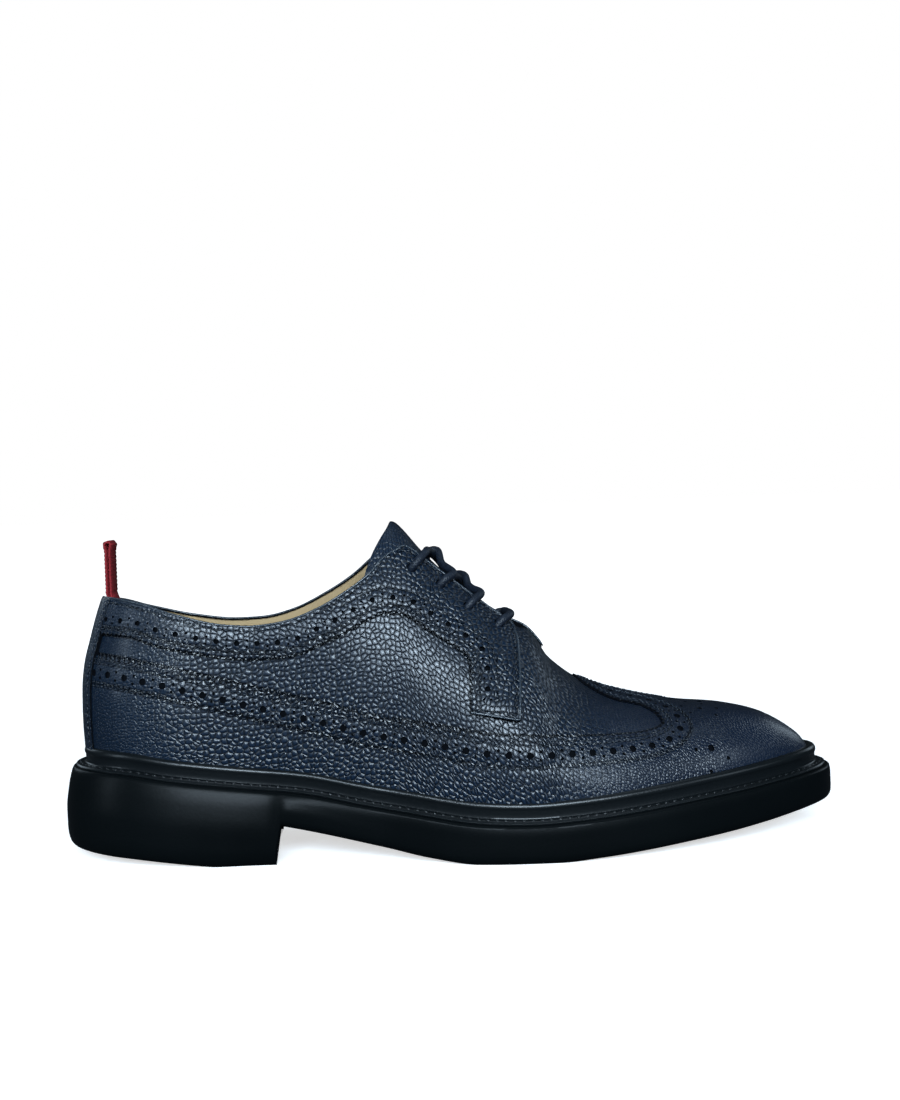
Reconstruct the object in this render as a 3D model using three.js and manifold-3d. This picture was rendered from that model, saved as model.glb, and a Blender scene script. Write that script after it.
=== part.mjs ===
// A longwing derby brogue for the right foot, standing on its sole. Millimetres, +X to the toe,
// +Y to the inner side of the foot, +Z up, origin under the middle of the sole.
import * as THREE from "three";
import { mergeVertices } from "three/addons/utils/BufferGeometryUtils.js";
import Module from "manifold-3d";

const wasm = await Module();
wasm.setup();

// Driving dimensions of the sole
const soleLength = 306;
const ballWidth = 103;
const heelWidth = 70;
const heelHeight = 36.2;
const foreThickness = 14.2;
const toeSpring = 11.3;
const heelRocker = 5;
const breastHeight = 14.3;
const breastPlace = 86;
const breastLean = 2.5;
const breastSkew = 6;
const heelEndRadius = 28;
const toeEndRadius = 21;
const heelWallSlope = 3.1;
const foreWallSlope = 0.9;
const ledge = 4.9;

// Driving dimensions of the welt, upper and trim
const clearance = 0.3;
const weltHeight = 7.6;
const weltThickness = 1.8;
const weltLip = 0.8;
const wall = 2;
const wingStep = 1;
const quarterStep = 1.5;
const backstayStep = 1.6;
const backstayWidth = 25;
const instepRise = 108;
const toeRiseRadius = 18;
const collarRise = 65.3;
const seatSwell = 2;
const throatWidth = 32;
const eyeletDiameter = 4.6;
const tongueThickness = 2.6;
const tongueWidth = 50;
const insoleThickness = 3;
const laceDiameter = 3.2;
const laceLift = 1.3;
const eyeletSetback = 7.4;
const loopWidth = 11;
const loopDepth = 5.4;
const loopRise = 23;
const loopTail = 13;
const loopLean = 1.5;
const loopNeck = 4;
const tapeThickness = 1.4;

// Outline of the sole from heel to toe: place as a share of the length, the left or right curve of
// the centre line as a share of the ball width, half the width as a share of the local width
const outlineRows = [
  { at: 0.03, curve: -0.003, half: 0.297 },
  { at: 0.08, curve: -0.008, half: 0.431 },
  { at: 0.14, curve: -0.012, half: 0.489 },
  { at: 0.2, curve: -0.015, half: 0.498 },
  { at: 0.27, curve: -0.025, half: 0.478 },
  { at: 0.34, curve: -0.043, half: 0.436 },
  { at: 0.41, curve: -0.05, half: 0.409 },
  { at: 0.48, curve: -0.043, half: 0.42 },
  { at: 0.55, curve: -0.026, half: 0.462 },
  { at: 0.61, curve: -0.008, half: 0.49 },
  { at: 0.67, curve: 0.005, half: 0.496 },
  { at: 0.73, curve: 0.014, half: 0.48 },
  { at: 0.79, curve: 0.02, half: 0.443 },
  { at: 0.85, curve: 0.027, half: 0.388 },
  { at: 0.91, curve: 0.034, half: 0.308 },
  { at: 0.96, curve: 0.039, half: 0.212 },
];
const toeCurve = 0.041;

// Height of the ledge above the ball's own thickness: shares of the heel's extra height and of the
// toe spring
const ledgeRows = [
  { at: 0, heel: 1, toe: 0 },
  { at: 0.08, heel: 0.96, toe: 0 },
  { at: 0.15, heel: 0.83, toe: 0 },
  { at: 0.25, heel: 0.655, toe: 0 },
  { at: 0.316, heel: 0.555, toe: 0 },
  { at: 0.382, heel: 0.375, toe: 0 },
  { at: 0.448, heel: 0.21, toe: 0 },
  { at: 0.534, heel: 0.035, toe: 0 },
  { at: 0.6, heel: 0, toe: 0 },
  { at: 0.663, heel: 0, toe: 0.08 },
  { at: 0.735, heel: 0, toe: 0.24 },
  { at: 0.807, heel: 0, toe: 0.44 },
  { at: 0.886, heel: 0, toe: 0.63 },
  { at: 0.96, heel: 0, toe: 0.805 },
  { at: 1, heel: 0, toe: 0.885 },
];

// Height of the tread above the floor: shares of the heel's rocker, of the breast's height under
// the waist, and of the toe spring
const heelTreadRows = [
  { at: 0, rocker: 1.15 },
  { at: 0.0625, rocker: 0.88 },
  { at: 0.099, rocker: 0.72 },
  { at: 0.146, rocker: 0.42 },
  { at: 0.182, rocker: 0.16 },
  { at: 0.21, rocker: 0 },
  { at: 0.29, rocker: 0 },
];
const foreTreadRows = [
  { at: 0.28, waist: 1.06, toe: 0 },
  { at: 0.313, waist: 0.92, toe: 0 },
  { at: 0.352, waist: 0.74, toe: 0 },
  { at: 0.411, waist: 0.455, toe: 0 },
  { at: 0.469, waist: 0.17, toe: 0 },
  { at: 0.53, waist: 0, toe: 0 },
  { at: 0.63, waist: 0, toe: 0 },
  { at: 0.68, waist: 0, toe: 0.09 },
  { at: 0.735, waist: 0, toe: 0.22 },
  { at: 0.785, waist: 0, toe: 0.36 },
  { at: 0.84, waist: 0, toe: 0.51 },
  { at: 0.895, waist: 0, toe: 0.68 },
  { at: 0.957, waist: 0, toe: 0.89 },
  { at: 1, waist: 0, toe: 1 },
];

// Side wall of the sole from the tread up: share of its height, and how far it stands in from the
// outline as shares of the wall slope at the heel and at the forefoot
const wallRows = [
  { up: 0, heel: 0.65, fore: 2.3 },
  { up: 0.07, heel: 0.25, fore: 0.9 },
  { up: 0.2, heel: 0.03, fore: 0.15 },
  { up: 0.45, heel: 0, fore: 0 },
  { up: 0.75, heel: 0.35, fore: 0 },
  { up: 0.95, heel: 0.82, fore: 0.35 },
  { up: 1, heel: 1, fore: 1 },
];

// The last's form from heel to toe: rise of the ridge over the seat as a share of the instep's
// rise, the ridge's shift to the inner side as a share of the ball width, and how full the outer
// and inner halves of the section are (2 is an ellipse)
const lastRows = [
  { at: 0, rise: 0.84, shift: 0, outer: 2.7, inner: 2.7 },
  { at: 0.1, rise: 0.87, shift: 0, outer: 2.7, inner: 2.7 },
  { at: 0.24, rise: 0.93, shift: 0, outer: 2.7, inner: 2.7 },
  { at: 0.35, rise: 0.99, shift: 0.005, outer: 2.5, inner: 2.6 },
  { at: 0.4, rise: 1.025, shift: 0.01, outer: 2.3, inner: 2.5 },
  { at: 0.433, rise: 1.025, shift: 0.015, outer: 2.2, inner: 2.4 },
  { at: 0.478, rise: 0.915, shift: 0.02, outer: 2.3, inner: 2.4 },
  { at: 0.534, rise: 0.788, shift: 0.028, outer: 2.5, inner: 2.6 },
  { at: 0.586, rise: 0.682, shift: 0.04, outer: 2.4, inner: 2.6 },
  { at: 0.61, rise: 0.64, shift: 0.047, outer: 2.3, inner: 2.6 },
  { at: 0.628, rise: 0.575, shift: 0.05, outer: 2.3, inner: 2.6 },
  { at: 0.639, rise: 0.523, shift: 0.051, outer: 2.3, inner: 2.6 },
  { at: 0.652, rise: 0.487, shift: 0.052, outer: 2.3, inner: 2.6 },
  { at: 0.678, rise: 0.43, shift: 0.053, outer: 2.3, inner: 2.6 },
  { at: 0.706, rise: 0.39, shift: 0.053, outer: 2.3, inner: 2.6 },
  { at: 0.741, rise: 0.352, shift: 0.053, outer: 2.3, inner: 2.5 },
  { at: 0.811, rise: 0.29, shift: 0.05, outer: 2.4, inner: 2.5 },
  { at: 0.889, rise: 0.247, shift: 0.045, outer: 2.5, inner: 2.5 },
  { at: 0.939, rise: 0.198, shift: 0.042, outer: 2.5, inner: 2.5 },
  { at: 0.972, rise: 0.138, shift: 0.04, outer: 2.4, inner: 2.4 },
];

// Back of the last: height over the seat as a share of the collar's rise, forward lean as a share
// of the heel width
const backRows = [
  { up: 0, lean: 0 },
  { up: 0.12, lean: -0.016 },
  { up: 0.3, lean: -0.022 },
  { up: 0.46, lean: -0.019 },
  { up: 0.6, lean: -0.004 },
  { up: 0.76, lean: 0.036 },
  { up: 0.9, lean: 0.075 },
  { up: 1, lean: 0.108 },
  { up: 1.4, lean: 0.24 },
];

// Collar line seen from the side: place as a share of the sole length, height over the heel seat
// as a share of the collar's rise, on the outer and inner sides
const collarRows = [
  { at: 0.01, outer: 1, inner: 1 },
  { at: 0.07, outer: 0.998, inner: 0.975 },
  { at: 0.108, outer: 0.966, inner: 0.907 },
  { at: 0.16, outer: 0.896, inner: 0.847 },
  { at: 0.222, outer: 0.828, inner: 0.812 },
  { at: 0.258, outer: 0.815, inner: 0.818 },
  { at: 0.297, outer: 0.833, inner: 0.859 },
  { at: 0.343, outer: 0.905, inner: 0.956 },
  { at: 0.382, outer: 1.005, inner: 1.066 },
  { at: 0.408, outer: 1.09, inner: 1.168 },
  { at: 0.43, outer: 1.198, inner: 1.25 },
  { at: 0.451, outer: 1.237, inner: 1.3 },
  { at: 0.455, outer: 1.6, inner: 1.6 },
];

// Edge of the quarter band and eyestay from the back seam to its front, in the same measures
const bandRows = [
  { at: 0.02, up: 0.793 },
  { at: 0.064, up: 0.79 },
  { at: 0.101, up: 0.775 },
  { at: 0.136, up: 0.724 },
  { at: 0.17, up: 0.688 },
  { at: 0.224, up: 0.642 },
  { at: 0.256, up: 0.629 },
  { at: 0.29, up: 0.631 },
  { at: 0.317, up: 0.648 },
  { at: 0.344, up: 0.7 },
  { at: 0.372, up: 0.755 },
  { at: 0.398, up: 0.818 },
  { at: 0.427, up: 0.87 },
  { at: 0.446, up: 0.862 },
  { at: 0.483, up: 0.753 },
  { at: 0.518, up: 0.645 },
  { at: 0.529, up: 0.6 },
  { at: 0.532, up: 0.53 },
  { at: 0.53, up: 0.288 },
];
const facingRows = [
  { at: 0.597, up: 0.232, wide: 0.01 },
  { at: 0.603, up: 0.33, wide: 0.014 },
  { at: 0.609, up: 0.52, wide: 0.018 },
  { at: 0.608, up: 0.65, wide: 0.017 },
  { at: 0.6, up: 0.75, wide: 0.014 },
  { at: 0.57, up: 1.6, wide: 0.012 },
];

// Upper edge of the long wing from the back seam to the valley at the side of the toe, and back
// up to the peak on the ridge
const wingRows = [
  { at: 0.02, up: 0.68 },
  { at: 0.07, up: 0.665 },
  { at: 0.133, up: 0.614 },
  { at: 0.197, up: 0.539 },
  { at: 0.271, up: 0.446 },
  { at: 0.345, up: 0.361 },
  { at: 0.418, up: 0.273 },
  { at: 0.49, up: 0.217 },
  { at: 0.562, up: 0.159 },
  { at: 0.636, up: 0.129 },
  { at: 0.7, up: 0.11 },
  { at: 0.735, up: 0.108 },
  { at: 0.761, up: 0.121 },
  { at: 0.7725, up: 0.145 },
  { at: 0.767, up: 0.187 },
  { at: 0.75, up: 0.23 },
  { at: 0.716, up: 0.273 },
  { at: 0.691, up: 0.328 },
  { at: 0.67, up: 0.4 },
  { at: 0.655, up: 0.6 },
];

// Edge of the throat seen from above: place, and distances from the ridge as shares of the
// throat's width
const throatRows = [
  { at: 0.389, outer: -0.66, inner: 0.33 },
  { at: 0.448, outer: -0.54, inner: 0.45 },
  { at: 0.484, outer: -0.5, inner: 0.55 },
  { at: 0.536, outer: -0.51, inner: 0.49 },
  { at: 0.569, outer: -0.52, inner: 0.48 },
  { at: 0.586, outer: -0.5, inner: 0.47 },
  { at: 0.597, outer: -0.38, inner: 0.44 },
  { at: 0.608, outer: -0.15, inner: 0.42 },
  { at: 0.616, outer: 0.1, inner: 0.36 },
];
const throatFloor = 0.3;

// Top edge of the tongue seen from the side
const tongueRows = [
  { at: 0.386, up: 0.86 },
  { at: 0.41, up: 1.19 },
  { at: 0.424, up: 1.31 },
  { at: 0.434, up: 1.375 },
  { at: 0.445, up: 1.45 },
  { at: 0.5, up: 1.6 },
];
const tongueFoot = 0.655;
const tongueHem = 0.05;
const tongueMiddle = 0.45;
const tongueTaper = 0.81;

// Eyelets from the ankle to the toe
const eyeletRows = [
  { at: 0.461, up: 1.113 },
  { at: 0.496, up: 1.006 },
  { at: 0.53, up: 0.871 },
  { at: 0.567, up: 0.755 },
];

// Welt section from its outer foot round to its top: distance in from its outer face and height,
// the lip as a share of its own size, the rest as shares of the welt's height
const weltRows = [
  { lip: 1, into: 0, up: 0 },
  { lip: 1, into: 0, up: 0.14 },
  { lip: 0, into: 0, up: 0.2 },
  { lip: 0, into: 0.02, up: 0.5 },
  { lip: 0, into: -0.03, up: 0.6 },
  { lip: 0, into: -0.04, up: 0.75 },
  { lip: 0, into: 0.02, up: 0.88 },
  { lip: 0, into: 0.14, up: 0.98 },
  { lip: 0, into: 0.32, up: 1 },
  { lip: 0, into: 0.7, up: 0.9 },
  { lip: 0, into: 0.7, up: 0 },
];

// Fineness of the meshes
const soleStations = 32;
const lastStations = 38;
const lastCourses = 11;
const liningStations = 30;
const liningCourses = 8;
const rimSteps = 44;
const laceSides = 8;
const laceSteps = 12;
const holeSides = 10;
const searchPasses = 12;
const seamPasses = 40;

// How far a cutting shape runs past what it cuts, and how high it reaches in the collar's rise
const overrun = 12;
const skirt = 6;
const overhead = 2;

const palette = {
  leather: { color: 0x1d2236, roughness: 0.42, metalness: 0 },
  rubber: { color: 0x14171b, roughness: 0.5, metalness: 0 },
  lining: { color: 0xb08a5c, roughness: 0.7, metalness: 0 },
  lace: { color: 0x1b2033, roughness: 0.7, metalness: 0 },
  tape: { color: 0x7d2330, roughness: 0.8, metalness: 0 },
};

const mix = (from, to, share) => from + (to - from) * share;
const clamp = (value) => Math.min(1, Math.max(0, value));
const ease = (from, to, value) => {
  const share = clamp((value - from) / (to - from));
  return share * share * (3 - 2 * share);
};

// Smooth curve through a table's column, with slopes that never overshoot
function along(rows, key, column, at) {
  const last = rows.length - 1;
  const place = Math.min(Math.max(at, rows[0][key]), rows[last][key]);
  let i = 0;
  while (i < last - 1 && place > rows[i + 1][key]) i += 1;
  const rise = (k) => (rows[k + 1][column] - rows[k][column]) / (rows[k + 1][key] - rows[k][key]);
  const slope = (k) => {
    if (k === 0) return rise(0);
    if (k === last) return rise(last - 1);
    const before = rise(k - 1);
    const after = rise(k);
    return before * after <= 0 ? 0 : (2 * before * after) / (before + after);
  };
  const width = rows[i + 1][key] - rows[i][key];
  const u = (place - rows[i][key]) / width;
  const ahead = u * u * (3 - 2 * u);
  return (
    mix(rows[i][column], rows[i + 1][column], ahead) +
    width * u * (1 - u) * ((1 - u) * slope(i) - u * slope(i + 1))
  );
}

// Stretches of the length, as shares, over which one form turns into another
const heelWall = { from: 0.2, to: 0.45 };
const heelToBall = { from: 0.25, to: 0.55 };
const backLean = { from: 0, to: 0.3 };
const heelSwell = { from: 0, to: 0.12 };
const toeSwell = { from: 0.9, to: 1 };
const ridgeEnds = 0.06;
const lowSwell = 0.4;

// Places along the sole
const shareOf = (angle) => (1 - Math.cos(angle)) / 2;
const placeOf = (share) => (share - 0.5) * soleLength;
const shareAt = (x) => x / soleLength + 0.5;
const heelness = (share) => 1 - ease(heelWall.from, heelWall.to, share);

// Half widths divided by the sine of the station's angle, so that both ends come out round
const localWidth = (at) => mix(heelWidth, ballWidth, ease(heelToBall.from, heelToBall.to, at));
const roundRows = [
  { at: 0, curve: 0, spread: Math.sqrt((heelEndRadius * soleLength) / 2) },
  ...outlineRows.map(({ at, curve, half }) => ({
    at,
    curve,
    spread: (half * localWidth(at)) / (2 * Math.sqrt(at * (1 - at))),
  })),
  { at: 1, curve: toeCurve, spread: Math.sqrt((toeEndRadius * soleLength) / 2) },
];

// Outline of the sole at an angle: 0 at the back of the heel, round by the outer side to the toe
function rawOutline(angle) {
  const share = shareOf(angle);
  const side = along(roundRows, "at", "curve", share) * ballWidth;
  const spread = along(roundRows, "at", "spread", share);
  return new THREE.Vector2(placeOf(share), side - spread * Math.sin(angle));
}

// Shift that puts the outline's two sides at the same distance from the origin
const outlineSides = Array.from({ length: 360 }, (_, i) => rawOutline((i * Math.PI) / 180).y);
const sideShift = -(Math.min(...outlineSides) + Math.max(...outlineSides)) / 2;

// Outline set in by a distance along its own normal
function edge(angle, inset) {
  const tip = 0.01;
  const before = rawOutline(angle - tip);
  const after = rawOutline(angle + tip);
  const run = after.sub(before).normalize();
  const point = rawOutline(angle);
  return new THREE.Vector2(point.x - run.y * inset, point.y + run.x * inset + sideShift);
}

// Heights of the sole's ledge and tread, and how far its side, the welt and the upper stand in
const ledgeHeight = (x) => {
  const share = clamp(shareAt(x));
  const heel = along(ledgeRows, "at", "heel", share) * (heelHeight - foreThickness);
  return foreThickness + heel + along(ledgeRows, "at", "toe", share) * toeSpring;
};
const seatHeight = (x) => ledgeHeight(x) + clearance;
const heelTread = (x) => along(heelTreadRows, "at", "rocker", shareAt(x)) * heelRocker;
const foreTread = (x) =>
  along(foreTreadRows, "at", "waist", shareAt(x)) * breastHeight +
  along(foreTreadRows, "at", "toe", shareAt(x)) * toeSpring;
const wallInset = (share, up) =>
  mix(
    along(wallRows, "up", "fore", up) * foreWallSlope,
    along(wallRows, "up", "heel", up) * heelWallSlope,
    heelness(share),
  );
const weltInset = (share) => wallInset(share, 1) + ledge;
const footInset = (share) => weltInset(share) + weltThickness + wingStep;
const heelSeat = heelHeight + clearance;
const heightOf = (up) => heelSeat + up * collarRise;

// The last's form
const backEnd = edge(0, footInset(0)).x;
const toeEnd = edge(Math.PI, footInset(1)).x;
const spanShare = (x) => clamp((x - backEnd) / (toeEnd - backEnd));
const riseRows = [
  ...lastRows.map((row) => ({ ...row, spread: (row.rise * instepRise) / Math.sqrt(1 - row.at) })),
  {
    ...lastRows[lastRows.length - 1],
    at: 1,
    spread: Math.sqrt(2 * toeRiseRadius * (toeEnd - backEnd)),
  },
];

// Section through the last at an angle round the shoe: its foot at the seat and its ridge
function section(angle) {
  const share = shareOf(angle);
  const foot = edge(angle, footInset(share));
  const other = edge(-angle, footInset(share));
  const ridgeX = (foot.x + other.x) / 2;
  const at = spanShare(ridgeX);
  const rise = along(riseRows, "at", "spread", at) * Math.sqrt(1 - at);
  const endShift = (foot.y + other.y) / 2;
  const ridgeY = mix(
    along(riseRows, "at", "shift", at) * ballWidth,
    endShift,
    Math.max(1 - ease(0, ridgeEnds, at), ease(1 - ridgeEnds, 1, at)),
  );
  const full = along(riseRows, "at", Math.sin(angle) >= 0 ? "outer" : "inner", at);
  return { foot, ridgeX, ridgeY, rise, full, at };
}

// Point of the form: up is 0 at the seat and 1 on the ridge
function lastPoint(angle, up) {
  const { foot, ridgeX, ridgeY, rise, full, at } = section(angle);
  const high = Math.sin((up * Math.PI) / 2) ** (2 / full);
  const out = Math.max(0, Math.cos((up * Math.PI) / 2)) ** (2 / full);
  const lift = rise * high;
  const lean = along(backRows, "up", "lean", lift / collarRise) * heelWidth;
  const fade = (1 - ease(backLean.from, backLean.to, at)) ** 2;
  const belly = Math.sin(Math.PI * clamp(Math.sqrt(high)));
  const fullness = Math.min(1, rise / instepRise + lowSwell) * ease(heelSwell.from, heelSwell.to, at);
  const swell = seatSwell * belly * fullness * (1 - ease(toeSwell.from, toeSwell.to, at));
  const x = mix(foot.x, ridgeX, high) + lean * fade;
  const seat = mix(seatHeight(foot.x), seatHeight(ridgeX), high);
  const y = ridgeY + (foot.y - ridgeY) * out - Math.sin(angle) * swell;
  return new THREE.Vector3(x, y, seat + lift);
}

// Point of the form moved out along its own normal by a distance
function formPoint(angle, up, out) {
  const point = lastPoint(angle, up);
  if (shareOf(angle) > 0.9999) return point.setX(point.x + out);
  const step = 0.004;
  const low = Math.max(0, up - step);
  const high = Math.min(1, up + step);
  const round = lastPoint(angle + step, up).sub(lastPoint(angle - step, up));
  const over = lastPoint(angle, high).sub(lastPoint(angle, low));
  const normal = round.cross(over).normalize();
  if (up > 0.9999 || shareOf(angle) < 0.0001) normal.setY(0).normalize();
  return point.addScaledVector(normal, out);
}

// Solid from points and the triangles that close them
function solidFrom(points, triangles) {
  const geometry = new THREE.BufferGeometry();
  const flat = points.flatMap((point) => [point.x, point.y, point.z]);
  geometry.setAttribute("position", new THREE.Float32BufferAttribute(flat, 3));
  geometry.setIndex(triangles);
  return solidOf(geometry);
}

// Solid of a closed geometry, without the thin triangles that merging leaves
function solidOf(geometry) {
  const bare = geometry.clone();
  bare.deleteAttribute("normal");
  bare.deleteAttribute("uv");
  const merged = mergeVertices(bare, 1e-4);
  const corners = merged.index.array;
  const kept = [];
  for (let i = 0; i < corners.length; i += 3) {
    const [a, b, c] = corners.slice(i, i + 3);
    if (a !== b && b !== c && c !== a) kept.push(a, b, c);
  }
  return new wasm.Manifold(
    new wasm.Mesh({
      numProp: 3,
      vertProperties: merged.attributes.position.array,
      triVerts: new Uint32Array(kept),
    }),
  );
}

// Geometry of a finished solid
function geometryOf(solid) {
  const mesh = solid.getMesh();
  const geometry = new THREE.BufferGeometry();
  geometry.setAttribute("position", new THREE.BufferAttribute(mesh.vertProperties, 3));
  geometry.setIndex(new THREE.BufferAttribute(mesh.triVerts, 1));
  geometry.computeVertexNormals();
  return geometry;
}

// Closed form of the last, moved out by a distance, with a straight skirt below the seat
function formSolid(out, stations, courses) {
  const ring = stations * 2;
  const points = [];
  for (let course = -1; course <= courses; course += 1) {
    for (let i = 0; i < ring; i += 1) {
      const mirrored = course === courses && i > stations ? ring - i : i;
      const point = formPoint((Math.PI * mirrored) / stations, Math.max(0, course) / courses, out);
      if (course < 0) point.setZ(point.z - skirt);
      points.push(point);
    }
  }
  const triangles = [];
  for (let course = 0; course <= courses; course += 1) {
    for (let i = 0; i < ring; i += 1) {
      const here = course * ring;
      const next = (i + 1) % ring;
      triangles.push(here + i, here + next, here + ring + next);
      triangles.push(here + i, here + ring + next, here + ring + i);
    }
  }
  for (let i = 0; i < stations; i += 1) {
    const far = (ring - i) % ring;
    const nextFar = ring - i - 1;
    triangles.push(i, far, nextFar);
    triangles.push(i, nextFar, i + 1);
  }
  return solidFrom(points, triangles);
}

// Slab between an outline on the outer side and one on the inner side, both seen from the side.
// The outlines are given at a third of the ball width to each side and run on past the shoe.
function sideSlab(outer, inner) {
  const far = ballWidth;
  const stretch = 3;
  const flat = outer.map(({ x, z }) => new THREE.Vector2(x, z));
  const backward = THREE.ShapeUtils.isClockWise(flat);
  const [near, other] = backward ? [[...outer].reverse(), [...inner].reverse()] : [outer, inner];
  if (backward) flat.reverse();
  const place = (from, to, y) => {
    const x = mix((from.x + to.x) / 2, from.x, stretch);
    const z = mix((from.z + to.z) / 2, from.z, stretch);
    return new THREE.Vector3(x, y, z);
  };
  const count = near.length;
  const points = [
    ...near.map((from, i) => place(from, other[i], -far)),
    ...other.map((from, i) => place(from, near[i], far)),
  ];
  const triangles = THREE.ShapeUtils.triangulateShape(flat, []).flatMap(([a, b, c]) => [
    ...[a, b, c],
    ...[a + count, c + count, b + count],
  ]);
  for (let i = 0; i < count; i += 1) {
    const next = (i + 1) % count;
    triangles.push(i, i + count, next + count, i, next + count, next);
  }
  return solidFrom(points, triangles);
}

const sidePoint = ({ at, up }) => ({ x: placeOf(at), z: heightOf(up) });
const sameSlab = (points) => sideSlab(points, points);

// Slab between two heights with an outline seen from above
function planSlab(points, low, high) {
  const shape = new THREE.Shape(points.map(({ x, y }) => new THREE.Vector2(x, y)));
  const geometry = new THREE.ExtrudeGeometry(shape, { depth: high - low, bevelEnabled: false });
  geometry.translate(0, 0, low);
  return solidOf(geometry);
}

// Angle round the shoe whose section crosses the middle at a place
const ridgeAngle = (x) => Math.acos(1 - 2 * clamp(shareAt(x)));

// Point of the form below a place seen from above
function formAbove(x, y, out) {
  let angle = ridgeAngle(x);
  let up = 1;
  let signed = angle;
  for (let pass = 0; pass < searchPasses; pass += 1) {
    const middle = section(angle);
    signed = y < middle.ridgeY ? angle : -angle;
    const { foot, ridgeY, full } = section(signed);
    const away = clamp((y - ridgeY) / (foot.y - ridgeY));
    up = (Math.acos(away ** (full / 2)) * 2) / Math.PI;
    angle += ((x - lastPoint(signed, up).x) / soleLength) * 2;
  }
  return formPoint(y < section(angle).ridgeY ? angle : -angle, up, out);
}

// Point of the form behind a place seen from the side
function formBeside(x, z, outerSide, out) {
  let angle = ridgeAngle(x);
  let up = 0.5;
  for (let pass = 0; pass < searchPasses; pass += 1) {
    const signed = outerSide ? angle : -angle;
    const { rise, full } = section(signed);
    const high = clamp((z - seatHeight(x)) / rise);
    up = (Math.asin(high ** (full / 2)) * 2) / Math.PI;
    angle += ((x - lastPoint(signed, up).x) / soleLength) * 2;
  }
  return formPoint(outerSide ? angle : -angle, up, out);
}

// The moulded sole with its heel: stations from heel to toe, two of them at the breast
function makeOutsole() {
  const breast = breastPlace / soleLength;
  const breastTop = (breastPlace + breastLean) / soleLength;
  const breastGap = 0.03;
  const shares = [];
  for (let i = 0; i <= soleStations; i += 1) {
    const share = shareOf((Math.PI * i) / soleStations);
    if (Math.abs(share - breast) > breastGap) shares.push({ share, waist: share > breast });
  }
  shares.push(
    { share: breast, waist: false, breasted: true },
    { share: breastTop, waist: true, breasted: true },
  );
  shares.sort((a, b) => a.share - b.share);
  const loop = [
    ...shares.map((row) => ({ ...row, side: 1 })),
    ...shares
      .slice(1, -1)
      .reverse()
      .map((row) => ({ ...row, side: -1 })),
  ];
  const points = [];
  wallRows.forEach(({ up }) => {
    loop.forEach(({ share, waist, side, breasted }) => {
      const angle = side * Math.acos(1 - 2 * share);
      const { x, y } = edge(angle, wallInset(share, up));
      const skew = breasted && side < 0 ? breastSkew : 0;
      const tread = waist ? foreTread(placeOf(share)) : heelTread(placeOf(share));
      const z = mix(tread, ledgeHeight(placeOf(share) - skew), up);
      points.push(new THREE.Vector3(x - skew, y, z));
    });
  });
  return loftRings(points, loop.length, shares.length);
}

// Loft of rings that each run out along one side and back along the other, capped by strips
// across the shoe
function loftRings(points, ring, out) {
  const triangles = [];
  const levels = points.length / ring;
  for (let level = 0; level < levels - 1; level += 1) {
    for (let i = 0; i < ring; i += 1) {
      const here = level * ring;
      const next = (i + 1) % ring;
      triangles.push(here + i, here + next, here + ring + next);
      triangles.push(here + i, here + ring + next, here + ring + i);
    }
  }
  const top = (levels - 1) * ring;
  for (let i = 0; i < out - 1; i += 1) {
    const far = (ring - i) % ring;
    const nextFar = ring - i - 1;
    triangles.push(i, far, nextFar, i, nextFar, i + 1);
    triangles.push(top + i, top + nextFar, top + far, top + i, top + i + 1, top + nextFar);
  }
  return solidFrom(points, triangles);
}

// Storm welt: a ring of one section round the shoe, its inner face left by the upper's own form
function makeWelt(plug) {
  const ring = soleStations * 2;
  const points = [];
  for (let i = 0; i < ring; i += 1) {
    const angle = (Math.PI * i) / soleStations;
    const share = shareOf(angle);
    weltRows.forEach(({ lip, into, up }) => {
      const inset = weltInset(share) - lip * weltLip + into * weltHeight;
      const { x, y } = edge(angle, inset);
      points.push(new THREE.Vector3(x, y, seatHeight(placeOf(share)) + up * weltHeight));
    });
  }
  const count = weltRows.length;
  const triangles = [];
  for (let i = 0; i < ring; i += 1) {
    const here = i * count;
    const there = ((i + 1) % ring) * count;
    for (let k = 0; k < count; k += 1) {
      const next = (k + 1) % count;
      triangles.push(here + k, there + k, there + next, here + k, there + next, here + next);
    }
  }
  return solidFrom(points, triangles).subtract(plug);
}

// Thin plate inside the upper, resting on the sole
function makeInsole() {
  const points = [];
  [clearance, clearance + insoleThickness].forEach((up) => {
    for (let i = 0; i < liningStations * 2; i += 1) {
      const angle = (Math.PI * i) / liningStations;
      const share = shareOf(angle);
      const { x, y } = edge(angle, footInset(share) + wall + 2 * clearance);
      points.push(new THREE.Vector3(x, y, ledgeHeight(placeOf(share)) + up));
    }
  });
  return loftRings(points, liningStations * 2, liningStations + 1);
}

// Everything above the seat line
function aboveSeat() {
  const line = ledgeRows.map(({ at }) => ({ x: placeOf(at), z: seatHeight(placeOf(at)) }));
  const top = heightOf(overhead);
  const [first, last] = [line[0], line[line.length - 1]];
  return sameSlab([
    { x: first.x - overrun, z: first.z },
    ...line,
    { x: last.x + overrun, z: last.z },
    { x: last.x + overrun, z: top },
    { x: first.x - overrun, z: top },
  ]);
}

// Everything inside and above the collar's line
function collarCut() {
  const [start, finish] = [collarRows[0].at, collarRows[collarRows.length - 1].at];
  const places = Array.from({ length: rimSteps + 1 }, (_, i) => mix(start, finish, i / rimSteps));
  const line = (key) =>
    places.map((at) => sidePoint({ at, up: along(collarRows, "at", key, at) }));
  const ends = (points) => [
    { x: points[0].x - overrun, z: points[0].z },
    ...points,
    { x: points[points.length - 1].x, z: heightOf(overhead) },
    { x: points[0].x - overrun, z: heightOf(overhead) },
  ];
  return sideSlab(ends(line("outer")), ends(line("inner")));
}

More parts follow.
